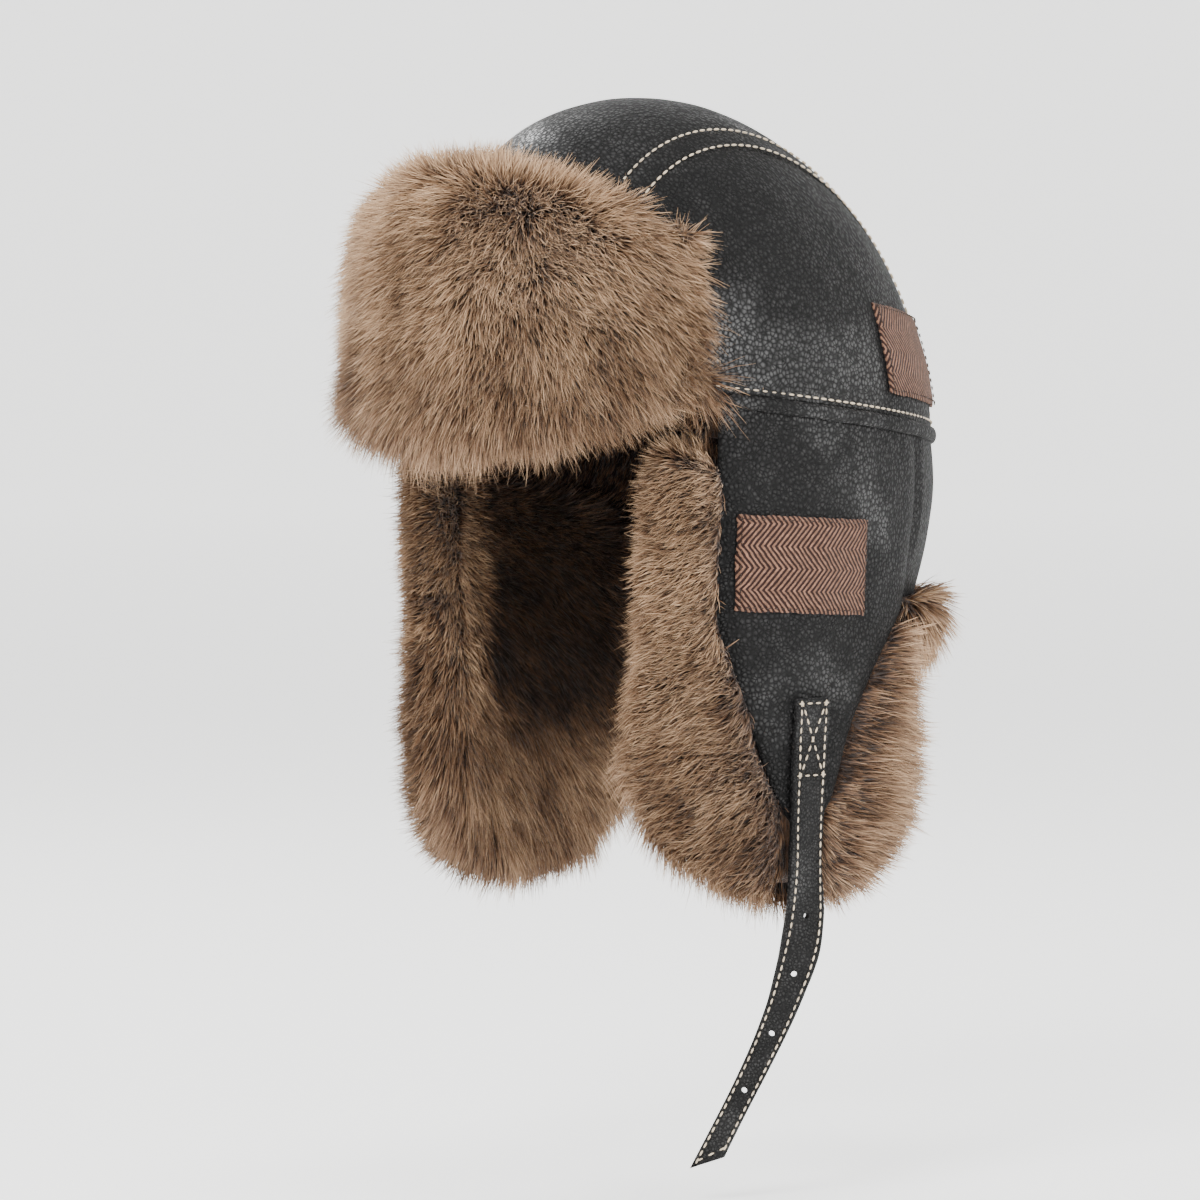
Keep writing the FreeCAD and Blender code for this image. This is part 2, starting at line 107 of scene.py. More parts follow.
class HatFinish(bpy.types.PropertyGroup):
    leather: bpy.props.FloatVectorProperty(
        name="Leather", description="Colour of the black leather", size=3, subtype="COLOR",
        default=(0.0052, 0.0050, 0.0050),
    )
    fur_root: bpy.props.FloatVectorProperty(
        name="Fur Root", description="Colour of the fur at its root", size=3, subtype="COLOR",
        default=(0.018, 0.009, 0.0055),
    )
    fur_middle: bpy.props.FloatVectorProperty(
        name="Fur Middle", description="Colour of the fur half way up", size=3, subtype="COLOR",
        default=(0.140, 0.071, 0.035),
    )
    fur_tip: bpy.props.FloatVectorProperty(
        name="Fur Tip", description="Colour of the fur at its tips", size=3, subtype="COLOR",
        default=(0.60, 0.40, 0.24),
    )
    thread: bpy.props.FloatVectorProperty(
        name="Thread", description="Colour of the waxed thread", size=3, subtype="COLOR",
        default=(0.60, 0.49, 0.35),
    )
    tweed_light: bpy.props.FloatVectorProperty(
        name="Tweed Light", description="Light yarn of the herringbone", size=3, subtype="COLOR",
        default=(0.265, 0.138, 0.090),
    )
    tweed_dark: bpy.props.FloatVectorProperty(
        name="Tweed Dark", description="Dark yarn of the herringbone", size=3, subtype="COLOR",
        default=(0.020, 0.009, 0.007),
    )
    hair_length: bpy.props.FloatProperty(
        name="Hair Length", description="Length of the fur's pile", default=0.0118, unit="LENGTH"
    )
    tufts: bpy.props.FloatProperty(
        name="Tufts", description="Tufts in one coat of fur on one pelt", default=32500
    )
    hair_width: bpy.props.FloatProperty(
        name="Hair Width", description="Width of one tuft at its root", default=0.00085, unit="LENGTH"
    )


def shape():
    return bpy.context.scene.hat_shape


def finish():
    return bpy.context.scene.hat_finish


# ---- The hat's own surfaces --------------------------------------------------------------------


def dome_point(direction, depth=0.0):
    """A place on the crown for unit directions (..., 3), at a depth under its leather face."""
    s = shape()
    a, b, c = s.half_width - depth, s.half_depth - depth, s.height - depth
    x, y, z = direction[..., 0], direction[..., 1], direction[..., 2]
    return np.stack([a * x, b * y - s.lean * c * z, c * z - s.drop * b * y], axis=-1)


def tube_point(t, z, depth=0.0):
    """A place on the neck tube at angle t (0 is the wearer's left, positive towards the back)."""
    s = shape()
    scale = 1 + s.taper * z
    x = (s.half_width - depth) * scale * np.cos(t)
    y = (s.half_depth - depth) * scale * np.sin(t)
    return np.stack([x, y, z + 0 * x], axis=-1)


def tube_at(y, z, depth=0.0):
    """The place on the left side of the neck tube that has a given y."""
    s = shape()
    reach = (s.half_depth - depth) * (1 + s.taper * z)
    return tube_point(np.arcsin(np.clip(y / reach, -1, 1)), z, depth)


def tube_depth(points):
    """How far points lie under the leather face of the neck tube, roughly."""
    s = shape()
    scale = 1 + s.taper * points[:, 2]
    share = np.hypot(points[:, 0] / (s.half_width * scale), points[:, 1] / (s.half_depth * scale))
    return (1 - share) * (s.half_width + s.half_depth) / 2


def unit(vectors):
    return vectors / np.linalg.norm(vectors, axis=-1, keepdims=True)


def tube_out(points):
    """Directions straight out of the neck tube."""
    s = shape()
    return unit(points * np.array([1 / s.half_width**2, 1 / s.half_depth**2, 0]))


def round_out(t):
    """Directions out of the neck tube at angles t."""
    s = shape()
    return unit(np.stack([np.cos(t) / s.half_width, np.sin(t) / s.half_depth, 0 * t], axis=-1))


def smooth_curve(places, values, query):
    """A smooth curve through a few points: cubic pieces with the slopes of their neighbours."""
    places, values = np.asarray(places, float), np.asarray(values, float)
    slopes = np.gradient(values, places)
    index = np.clip(np.searchsorted(places, query) - 1, 0, len(places) - 2)
    step = places[index + 1] - places[index]
    u = (query - places[index]) / step
    return (
        (2 * u**3 - 3 * u**2 + 1) * values[index]
        + (u**3 - 2 * u**2 + u) * step * slopes[index]
        + (3 * u**2 - 2 * u**3) * values[index + 1]
        + (u**3 - u**2) * step * slopes[index + 1]
    )


def ripple(points, scale, seed=0.0):
    """Smooth noise from -1 to 1 at each point."""
    flat = points.reshape(-1, 3) / scale + seed
    return np.array([noise.noise(Vector(p)) for p in flat]).reshape(points.shape[:-1])


def grid_normals(points):
    across = np.gradient(points, axis=1)
    down = np.gradient(points, axis=0)
    normal = np.cross(across, down)
    length = np.linalg.norm(normal, axis=-1, keepdims=True)
    return normal / np.maximum(length, 1e-12)


# ---- Meshes ------------------------------------------------------------------------------------


def new_object(name, mesh):
    obj = bpy.data.objects.new(name, mesh)
    bpy.context.scene.collection.objects.link(obj)
    return obj


def grid_object(name, points, uv=None, around=False):
    """An object from a grid of points; faces point along (next column) x (next row)."""
    rows, columns = points.shape[:2]
    last = columns if around else columns - 1
    faces = []
    for r in range(rows - 1):
        for c in range(last):
            n = (c + 1) % columns
            here, below = r * columns, (r + 1) * columns
            faces.append((here + c, here + n, below + n, below + c))
    mesh = bpy.data.meshes.new(name)
    mesh.from_pydata(points.reshape(-1, 3).tolist(), [], faces)
    if uv is not None:
        layer = mesh.uv_layers.new(name="cloth")
        flat = uv.reshape(-1, 2)
        for loop in mesh.loops:
            layer.data[loop.index].uv = flat[loop.vertex_index]
    return new_object(name, mesh)


def clean(obj, merge=1e-6):
    """Merge doubles, drop faces with no area and turn every face outwards."""
    work = bmesh.new()
    work.from_mesh(obj.data)
    bmesh.ops.remove_doubles(work, verts=work.verts, dist=merge)
    bmesh.ops.dissolve_degenerate(work, edges=work.edges, dist=merge)
    bmesh.ops.recalc_face_normals(work, faces=work.faces)
    work.to_mesh(obj.data)
    work.free()


def bake_modifiers(obj):
    """Replace an object's mesh with its evaluated one and drop its modifiers."""
    graph = bpy.context.evaluated_depsgraph_get()
    mesh = bpy.data.meshes.new_from_object(obj.evaluated_get(graph))
    obj.modifiers.clear()
    obj.data = mesh
    return obj


def give_thickness(obj, thickness, offset=-1.0):
    wall = obj.modifiers.new("Thickness", "SOLIDIFY")
    wall.thickness = thickness
    wall.offset = offset
    wall.use_even_offset = False
    bake_modifiers(obj)


def shade_smooth(obj):
    obj.data.polygons.foreach_set("use_smooth", [True] * len(obj.data.polygons))
    obj.data.update()


def vertices(obj):
    flat = np.empty(len(obj.data.vertices) * 3)
    obj.data.vertices.foreach_get("co", flat)
    return flat.reshape(-1, 3)


def set_vertices(obj, points):
    obj.data.vertices.foreach_set("co", points.reshape(-1))
    obj.data.update()


def mirrored_copy(obj, name):
    """The same piece for the wearer's other side."""
    mesh = obj.data.copy()
    twin = new_object(name, mesh)
    mesh.transform(Matrix.Scale(-1, 4, (1, 0, 0)))
    mesh.flip_normals()
    return twin


def complete(obj, body, material, replaces=()):
    """Dress a finished piece, hang it on its body and say which plain solids it stands for."""
    obj.data.materials.clear()
    obj.data.materials.append(material)
    shade_smooth(obj)
    if body:
        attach(obj, body)
    if replaces:
        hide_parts(*replaces)
    return obj


# ---- Shader maths ------------------------------------------------------------------------------


class Socket:
    """A shader socket that Python arithmetic turns into Math nodes."""

    def __init__(self, tree, socket):
        self.tree = tree
        self.socket = socket

    def node(self, kind, settings=None, inputs=None, output=0):
        made = self.tree.nodes.new(kind)
        for key, value in (settings or {}).items():
            if key == "stops":
                ramp = made.color_ramp
                while len(ramp.elements) < len(value):
                    ramp.elements.new(0.5)
                for element, (place, colour) in zip(ramp.elements, value):
                    element.position = place
                    element.color = (*colour, 1.0)
            else:
                setattr(made, key, value)
        for key, value in (inputs or {}).items():
            target = made.inputs[key]
            if isinstance(value, Socket):
                self.tree.links.new(value.socket, target)
            else:
                target.default_value = value
        return Socket(self.tree, made.outputs[output])

    def maths(self, operation, *terms):
        return self.node("ShaderNodeMath", {"operation": operation}, dict(enumerate(terms)))

    def __add__(self, other):
        return self.maths("ADD", self, other)

    def __radd__(self, other):
        return self.maths("ADD", other, self)

    def __sub__(self, other):
        return self.maths("SUBTRACT", self, other)

    def __rsub__(self, other):
        return self.maths("SUBTRACT", other, self)

    def __mul__(self, other):
        return self.maths("MULTIPLY", self, other)

    def __rmul__(self, other):
        return self.maths("MULTIPLY", other, self)

    def __truediv__(self, other):
        return self.maths("DIVIDE", self, other)

    def between(self, low, high):
        """0 below low, 1 above high, smooth in between."""
        settings = {"interpolation_type": "SMOOTHSTEP"}
        return self.node("ShaderNodeMapRange", settings, {"Value": self, "From Min": low, "From Max": high})


def start_material(name, **constants):
    """A material, a socket helper for its tree and its main shader."""
    material = bpy.data.materials.new(name)
    material.use_nodes = True
    tree = material.node_tree
    shader = tree.nodes["Principled BSDF"]
    for key, value in constants.items():
        shader.inputs[key.replace("_", " ")].default_value = value
    return material, Socket(tree, None), shader


def connect(value, shader, name):
    value.tree.links.new(value.socket, shader.inputs[name])


def object_place(s):
    return s.node("ShaderNodeTexCoord", output="Object")


def colour_mix(s, share, first, second, blend="MIX"):
    def full(colour):
        return colour if isinstance(colour, Socket) else (*colour, 1.0)

    mixer = {"data_type": "RGBA", "blend_type": blend}
    return s.node("ShaderNodeMix", mixer, {0: share, 6: full(first), 7: full(second)}, 2)


def cloud(s, place, scale, detail=3.0, roughness=0.5):
    values = {"Vector": place, "Scale": scale, "Detail": detail, "Roughness": roughness}
    return s.node("ShaderNodeTexNoise", inputs=values)


def cells(s, place, scale, feature="F1", output="Distance"):
    return s.node("ShaderNodeTexVoronoi", {"feature": feature}, {"Vector": place, "Scale": scale}, output)


def bump(s, height, strength, distance):
    return s.node("ShaderNodeBump", inputs={"Height": height, "Strength": strength, "Distance": distance})


def leather_material(name, colour, grain=1.0, gloss=0.0):
    """Pebble-grained leather: raised cells with dull creases, polished here and there; painted highlights on
    the cell tops and painted shade in the creases.
    """
    material, s, shader = start_material(name, Specular_IOR_Level=0.22, Coat_Roughness=0.30)
    place = object_place(s)
    warp = cloud(s, place, 260.0, 2.0)
    size = 560.0 / grain
    pebbles = cells(s, place, size)
    creases = cells(s, place, size, "DISTANCE_TO_EDGE")
    fine = cloud(s, place, 2600.0, 2.0)
    broad = cloud(s, place, 17.0, 3.0)
    patches = cloud(s, place, 110.0, 4.0, 0.65)
    dome = pebbles.between(0.66, 0.16)
    flat_top = creases.between(0.0, 0.16) * (0.25 + dome * 0.75)
    height = flat_top * 0.5 + dome * 0.7 + fine * 0.15 + warp * 0.3
    rubbed = broad.between(0.52, 0.66)
    # Painted highlights: the pebble tops are much lighter in cloudy patches.
    painted_highlight_colour = [c * 4.0 + 0.005 for c in colour]
    tops = colour_mix(s, patches.between(0.40, 0.72), [c * 1.5 for c in colour], painted_highlight_colour)
    # Painted shade in the creases, much darker than the tops, and painted highlights on the raised tops.
    base = colour_mix(s, flat_top, [c * 0.3 for c in colour], tops)
    connect(base, shader, "Base Color")
    connect(0.62 - gloss - rubbed * 0.12 + (1 - flat_top) * 0.16 + fine * 0.06, shader, "Roughness")
    connect((0.10 + rubbed * 0.75) * flat_top, shader, "Coat Weight")
    connect(bump(s, height, 1.0, 0.0008 * grain), shader, "Normal")
    return material


def thread_material():
    """Waxed thread: two plies that wind round each stitch."""
    material, s, shader = start_material("waxed_thread", Roughness=0.55, Sheen_Weight=0.2)
    place = object_place(s)
    plies = s.node("ShaderNodeTexWave", {"bands_direction": "DIAGONAL"}, {"Vector": place, "Scale": 900.0})
    dirt = cloud(s, place, 90.0, 2.0)
    colour = list(finish().thread)
    base = colour_mix(s, dirt.between(0.35, 0.7), [c * 0.72 for c in colour], colour)
    connect(base, shader, "Base Color")
    connect(bump(s, plies, 0.4, 0.0001), shader, "Normal")
    return material


def fur_strand_material():
    """Fur tufts: dark at the root, tan at the tip, each tuft a little different, darker with painted shade
    and lighter with painted light.
    """
    material, s, shader = start_material(
        "fur_strands", Roughness=0.52, Specular_IOR_Level=0.35, Sheen_Weight=0.15, Sheen_Roughness=0.4
    )
    f = finish()
    along = s.node("ShaderNodeAttribute", {"attribute_name": "along"}, output="Fac")
    tone = s.node("ShaderNodeAttribute", {"attribute_name": "tone"}, output="Fac")
    place = object_place(s)
    patch = cloud(s, place, 38.0, 3.0, 0.6)
    # The level is lower where a tuft carries painted shade and higher where it carries painted light.
    level = along + (tone - 0.5) * 0.42 + (patch - 0.5) * 0.70
    near_tip = [m * 0.55 + t * 0.42 for m, t in zip(f.fur_middle, f.fur_tip)]
    stops = [(0.12, f.fur_root), (0.48, f.fur_middle), (0.76, near_tip), (1.0, f.fur_tip)]
    base = s.node("ShaderNodeValToRGB", {"stops": stops}, {"Fac": level})
    connect(base, shader, "Base Color")
    return material


def fur_base_material():
    """The under-fur between the tufts: dense, dark and streaky."""
    material, s, shader = start_material("under_fur", Roughness=0.8, Specular_IOR_Level=0.2, Sheen_Weight=0.2)
    f = finish()
    place = object_place(s)
    stretched = s.node("ShaderNodeMapping", inputs={"Vector": place, "Scale": (1.0, 1.0, 0.22)})
    streaks = cloud(s, stretched, 700.0, 4.0, 0.65)
    patches = cloud(s, place, 50.0, 3.0)
    base = colour_mix(s, streaks.between(0.35, 0.7), [c * 0.6 for c in f.fur_root], f.fur_middle)
    base = colour_mix(s, patches.between(0.3, 0.7) * 0.4, base, f.fur_root)
    connect(base, shader, "Base Color")
    connect(bump(s, streaks, 0.9, 0.0015), shader, "Normal")
    return material


def tweed_material():
    """Herringbone: slanting yarns that turn over at every band, on the patch's own coordinates."""
    material, s, shader = start_material(
        "herringbone_tweed", Roughness=0.95, Sheen_Weight=0.04, Specular_IOR_Level=0.2
    )
    f = finish()
    uv = s.node("ShaderNodeUVMap", {"uv_map": "cloth"})
    wobble = cloud(s, object_place(s), 260.0, 2.0)
    split = s.node("ShaderNodeSeparateXYZ", inputs={0: uv})
    across = split + (wobble - 0.5) * 0.7
    up = Socket(s.tree, split.socket.node.outputs[1]) + (wobble - 0.5) * 0.5
    band = up / 8.6
    zigzag = band.maths("PINGPONG", band, 1.0) * 8.6
    slant = (across + zigzag * 0.85) / 2.35
    yarn = slant.maths("PINGPONG", slant, 0.5) * 2
    twist = cloud(s, object_place(s), 1500.0, 2.0, 0.7)
    flecks = cloud(s, object_place(s), 420.0, 3.0, 0.7)
    light = (yarn + (twist - 0.5) * 0.5).between(0.44, 0.66)
    light_colour = colour_mix(s, flecks.between(0.35, 0.7), [c * 0.55 for c in f.tweed_light], f.tweed_light)
    base = colour_mix(s, light, f.tweed_dark, light_colour)
    connect(base, shader, "Base Color")
    connect(bump(s, yarn + twist * 0.8, 0.9, 0.0005), shader, "Normal")
    return material


def lining_material():
    """Black quilted satin with a fine weave."""
    material, s, shader = start_material("quilted_lining", Sheen_Weight=0.1)
    place = object_place(s)
    weave = s.node("ShaderNodeTexWave", {"bands_direction": "DIAGONAL"}, {"Vector": place, "Scale": 700.0})
    shade = cloud(s, place, 40.0)
    connect(colour_mix(s, shade, (0.012, 0.011, 0.012), (0.03, 0.027, 0.027)), shader, "Base Color")
    connect(0.42 + shade * 0.2, shader, "Roughness")
    connect(bump(s, weave, 0.25, 0.0001), shader, "Normal")
    return material


def metal_material():
    """Dark nickel with fine brushing and dull, worn spots."""
    material, s, shader = start_material("aged_nickel", Metallic=1.0)
    place = object_place(s)
    brushed = s.node("ShaderNodeMapping", inputs={"Vector": place, "Scale": (40.0, 1.0, 40.0)})
    lines = cloud(s, brushed, 60.0, 3.0)
    spots = cloud(s, place, 240.0, 3.0)
    base = colour_mix(s, spots.between(0.4, 0.7), (0.42, 0.40, 0.37), (0.27, 0.25, 0.22))
    connect(base, shader, "Base Color")
    connect(0.22 + lines * 0.14 + spots.between(0.45, 0.7) * 0.2, shader, "Roughness")
    connect(bump(s, lines, 0.12, 0.0001), shader, "Normal")
    return material


MATERIALS = {
    "leather": lambda: leather_material("pebbled_leather", list(finish().leather)),
    "strap": lambda: leather_material("strap_leather", [c * 1.3 for c in finish().leather], 0.75, 0.08),
    "sweatband": lambda: leather_material("sweatband_leather", (0.035, 0.026, 0.021), 0.6),
    "patch_thread": lambda: leather_material("dark_patch_thread", (0.05, 0.03, 0.022), 0.4),
    "thread": thread_material,
    "strands": fur_strand_material,
    "under_fur": fur_base_material,
    "tweed": tweed_material,
    "lining": lining_material,
    "metal": metal_material,
}
made_materials = {}


def material(name):
    if name not in made_materials:
        made_materials[name] = MATERIALS[name]()
    return made_materials[name]


# ---- Geometry Nodes ----------------------------------------------------------------------------


class Tree:
    """A geometry node tree that is built one node at a time."""

    def __init__(self, name, inputs):
        self.tree = bpy.data.node_groups.new(name, "GeometryNodeTree")
        self.tree.interface.new_socket("Geometry", in_out="INPUT", socket_type="NodeSocketGeometry")
        self.identifiers = {}
        for label, (kind, default) in inputs.items():
            socket = self.tree.interface.new_socket(label, in_out="INPUT", socket_type="NodeSocket" + kind)
            if default is not None:
                socket.default_value = default
            self.identifiers[label] = socket.identifier
        self.tree.interface.new_socket("Geometry", in_out="OUTPUT", socket_type="NodeSocketGeometry")
        self.source = self.tree.nodes.new("NodeGroupInput")
        self.end = self.tree.nodes.new("NodeGroupOutput")

    def given(self, label):
        return self.source.outputs[label]

    def add(self, kind, settings=None, inputs=None, output=0):
        made = self.tree.nodes.new(kind)
        for key, value in (settings or {}).items():
            setattr(made, key, value)
        for key, value in (inputs or {}).items():
            target = made.inputs[key]
            if isinstance(value, bpy.types.NodeSocket):
                self.tree.links.new(value, target)
            else:
                target.default_value = value
        return made.outputs[output]

    def maths(self, operation, *terms):
        return self.add("ShaderNodeMath", {"operation": operation}, dict(enumerate(terms)))

    def vector(self, operation, *terms):
        return self.add("ShaderNodeVectorMath", {"operation": operation}, dict(enumerate(terms)))

    def scaled(self, vector, scale):
        return self.add("ShaderNodeVectorMath", {"operation": "SCALE"}, {0: vector, "Scale": scale})

    def read(self, name, kind="FLOAT"):
        return self.add("GeometryNodeInputNamedAttribute", {"data_type": kind}, {"Name": name})

    def write(self, geometry, name, value, kind="FLOAT"):
        settings = {"data_type": kind, "domain": "POINT"}
        inputs = {"Geometry": geometry, "Name": name, "Value": value}
        return self.add("GeometryNodeStoreNamedAttribute", settings, inputs)

    def chance(self, low, high, seed):
        return self.add("FunctionNodeRandomValue", {"data_type": "FLOAT"}, {2: low, 3: high, "Seed": seed}, 1)

    def placed(self, points, instance, turn, scale):
        """Copies of one shape on points, made real."""
        copies = {"Points": points, "Instance": instance, "Rotation": turn, "Scale": scale}
        return self.add("GeometryNodeRealizeInstances", None, {
            "Geometry": self.add("GeometryNodeInstanceOnPoints", None, copies),
        })

    def finish_with(self, geometry):
        coloured = {"Geometry": geometry, "Material": self.given("Material")}
        geometry = self.add("GeometryNodeSetMaterial", None, coloured)
        self.tree.links.new(geometry, self.end.inputs[0])

    def run(self, obj, values):
        """Apply the tree to an object and leave a plain mesh."""
        modifier = obj.modifiers.new(self.tree.name, "NODES")
        modifier.node_group = self.tree
        for label, value in values.items():
            modifier[self.identifiers[label]] = value
        return bake_modifiers(obj)


def fur_tree():
    """Scatter tufts over a pelt; each bends along the pelt's combing, with some going astray."""
    tree = Tree("fur_tufts", {
        "Density": ("Float", 1.0e6), "Length": ("Float", 0.015), "Width": ("Float", 0.0009),
        "Stray": ("Float", 0.35), "Seed": ("Int", 1), "Material": ("Material", None),
    })
    add, maths, vector = tree.add, tree.maths, tree.vector
    scaled, read, write = tree.scaled, tree.read, tree.write
    scatter = add("GeometryNodeDistributePointsOnFaces", None, {
        "Mesh": tree.given("Geometry"), "Density": maths("MULTIPLY", read("hairy"), tree.given("Density")),
        "Seed": tree.given("Seed"),
    }).node
    points, normal = scatter.outputs["Points"], scatter.outputs["Normal"]

    place = add("GeometryNodeInputPosition")
    swirl = add("ShaderNodeTexNoise", None, {"Vector": place, "Scale": 60.0, "Detail": 2.0}, 1)
    swirl = scaled(vector("SUBTRACT", swirl, (0.5, 0.5, 0.5)), 1.1)
    cube = {0: (-1, -1, -1), 1: (1, 1, 1), "Seed": 3}
    loose = scaled(add("FunctionNodeRandomValue", {"data_type": "FLOAT_VECTOR"}, cube), tree.given("Stray"))
    lean = vector("ADD", vector("ADD", read("comb", "FLOAT_VECTOR"), swirl), loose)
    rise = vector("NORMALIZE", vector("ADD", normal, scaled(lean, 0.55)))
    turn = add("FunctionNodeAlignRotationToVector", {"axis": "Z"}, {"Vector": rise})
    spin = add("ShaderNodeCombineXYZ", None, {"Z": tree.chance(0.0, 6.283, 5)})
    turn = add("FunctionNodeRotateRotation", {"rotation_space": "LOCAL"}, {0: turn, 1: spin})

    length = maths("MULTIPLY", tree.given("Length"), tree.chance(0.62, 1.15, 7))
    length = maths("MULTIPLY", length, read("reach"))
    width = tree.given("Width")
    scale = add("ShaderNodeCombineXYZ", None, {"X": width, "Y": width, "Z": length})
    points = write(points, "bend", scaled(lean, length), "FLOAT_VECTOR")
    # Each tuft's random tone less the pelt's shade layer: painted shade darkens it, and shade below zero is
    # painted light.
    points = write(points, "tone", maths("SUBTRACT", tree.chance(0.0, 1.0, 9), read("shade")))

    strip = {"Size X": 1.0, "Size Y": 1.0, "Vertices X": 2, "Vertices Y": 4}
    blade = add("GeometryNodeMeshGrid", None, strip)
    parts = add("ShaderNodeSeparateXYZ", None, {0: add("GeometryNodeInputPosition")}).node
    along = maths("ADD", parts.outputs[1], 0.5)
    narrow = maths("MAXIMUM", maths("SUBTRACT", 1.0, maths("POWER", along, 1.6)), 0.06)
    side = maths("MULTIPLY", parts.outputs[0], narrow)
    upright = add("ShaderNodeCombineXYZ", None, {"X": side, "Z": along})
    blade = write(blade, "along", along)
    blade = add("GeometryNodeSetPosition", None, {"Geometry": blade, "Position": upright})

    fur = tree.placed(points, blade, turn, scale)
    squared = maths("MULTIPLY", maths("POWER", read("along"), 2.0), 0.5)
    shift = scaled(read("bend", "FLOAT_VECTOR"), squared)
    tree.finish_with(add("GeometryNodeSetPosition", None, {"Geometry": fur, "Offset": shift}))
    return tree


def stitch_tree():
    """Set stitches end to end along every edge path of a piece, upright on its surface."""
    tree = Tree("stitches", {
        "Spacing": ("Float", 0.0042), "Length": ("Float", 0.0032), "Thickness": ("Float", 0.0009),
        "Material": ("Material", None),
    })
    add = tree.add
    curve = add("GeometryNodeMeshToCurve", None, {"Mesh": tree.given("Geometry")})
    steps = {"Curve": curve, "Length": tree.given("Spacing")}
    even = add("GeometryNodeResampleCurve", {"mode": "LENGTH"}, steps)
    tangent = add("GeometryNodeInputTangent")
    out = tree.read("out", "FLOAT_VECTOR")
    turn = add("FunctionNodeAlignRotationToVector", {"axis": "X"}, {"Vector": tangent})
    upright = {"axis": "Z", "pivot_axis": "X"}
    turn = add("FunctionNodeAlignRotationToVector", upright, {"Rotation": turn, "Vector": out})
    ball = add("GeometryNodeMeshUVSphere", None, {"Segments": 8, "Rings": 6, "Radius": 0.5})
    scale = add("ShaderNodeCombineXYZ", None, {
        "X": tree.given("Length"), "Y": tree.given("Thickness"), "Z": tree.given("Thickness"),
    })
    rows = tree.placed(even, ball, turn, scale)
    tree.finish_with(add("GeometryNodeSetShadeSmooth", None, {"Geometry": rows}))
    return tree


made_trees = {}


def tree(name):
    if name not in made_trees:
        made_trees[name] = {"fur": fur_tree, "stitches": stitch_tree}[name]()
    return made_trees[name]


def paths_object(name, paths, outs):
    """One object of edge paths, with the direction that is up off the leather at each point."""
    mesh = bpy.data.meshes.new(name)
    points, edges, ups = [], [], []
    for path, out in zip(paths, outs):
        start = len(points)
        points.extend(path.tolist())
        ups.extend(out.tolist())
        edges.extend((start + i, start + i + 1) for i in range(len(path) - 1))
    mesh.from_pydata(points, edges, [])
    layer = mesh.attributes.new("out", "FLOAT_VECTOR", "POINT")
    layer.data.foreach_set("vector", np.asarray(ups).reshape(-1))
    return new_object(name, mesh)


def stitch_rows(name, paths, outs, spacing=0.0040, length=0.0031, thickness=0.00095):
    obj = paths_object(name, paths, outs)
    values = {"Spacing": spacing, "Length": length, "Thickness": thickness, "Material": material("thread")}
    return tree("stitches").run(obj, values)


# ---- Crown -------------------------------------------------------------------------------------


def centre_panel():
    """The strip from brow to nape, a little puffed between its seams."""
    s = shape()
    x = np.linspace(-s.seam_x, s.seam_x, 61)
    turn = np.linspace(0, math.pi, 121)
    x0 = np.broadcast_to(x / s.half_width, (len(turn), len(x)))
    ring = np.sqrt(1 - x0**2)
    direction = np.stack([x0, -ring * np.cos(turn)[:, None], ring * np.sin(turn)[:, None]], axis=-1)
    points = dome_point(direction)
    to_seam = np.clip((s.seam_x - np.abs(x)) / 0.012, 0, 1)
    puff = (to_seam * (2 - to_seam))[None, :] * 0.0010 - 0.0006
    pucker = np.sin(turn * 46)[:, None] * (1 - to_seam)[None, :] * 0.00018
    soft = ripple(points, 0.045) * 0.0007 + ripple(points, 0.016, 4) * 0.00025 * to_seam[None, :]
    points = points - grid_normals(points) * (puff + pucker + soft)[..., None] * panel_side(points)
    obj = grid_object("centre_panel", points)
    clean(obj)
    give_thickness(obj, LEATHER_THICK)
    return complete(obj, "crown", material("leather"), ["crown_centre_panel"])


def panel_side(points):
    """+1 or -1, so that a grid's normals taken times it point into the crown."""
    normal = grid_normals(points)
    return -1.0 if (normal * points).sum() > 0 else 1.0


def side_panel(name, node, sign):
    """An arched panel over the ear."""
    s = shape()
    seam = s.seam_x / s.half_width
    rise = np.linspace(0, 1, 71)
    height = np.sin(rise * math.acos(seam))
    ring = np.sqrt(1 - height**2)
    reach = np.arccos(np.clip(seam / ring, -1, 1))
    share = np.linspace(-1, 1, 101)
    t = reach[:, None] * share[None, :]
    ring = ring[:, None]
    direction = np.stack([ring * np.cos(t), ring * np.sin(t), height[:, None] + 0 * t], axis=-1)
    points = dome_point(direction)
    from_seam = np.clip((points[..., 0] - s.seam_x) / 0.010, 0, 1)
    puff = from_seam * (2 - from_seam) * 0.0010 - 0.0006
    pucker = np.sin(t * 60) * (1 - from_seam) * 0.00018
    soft = ripple(points, 0.040, 7) * 0.0009 + ripple(points, 0.014, 3) * 0.0003 * from_seam
    points = points - grid_normals(points) * (puff + pucker + soft)[..., None] * panel_side(points)
    points[..., 0] *= sign
    obj = grid_object(name, points)
    clean(obj, 2e-5)
    outward(obj)
    give_thickness(obj, LEATHER_THICK)
    return complete(obj, "crown", material("leather"), [node])


def outward(obj):
    """Turn an open sheet so that its faces look away from the hat's middle."""
    total = sum(f.normal.dot(f.center) * f.area for f in obj.data.polygons)
    if total < 0:
        obj.data.flip_normals()


def seam_line(x, count=240, first=0.02, last=math.pi - 0.02, depth=0.0):
    """Points along a crown seam and the direction off the leather there."""
    turn = np.linspace(first, last, count)
    x0 = np.full(count, x / shape().half_width)
    ring = np.sqrt(1 - x0**2)
    direction = np.stack([x0, -ring * np.cos(turn), ring * np.sin(turn)], axis=-1)
    points = dome_point(direction, depth)
    return points, unit(dome_point(direction, depth - 0.001) - points)


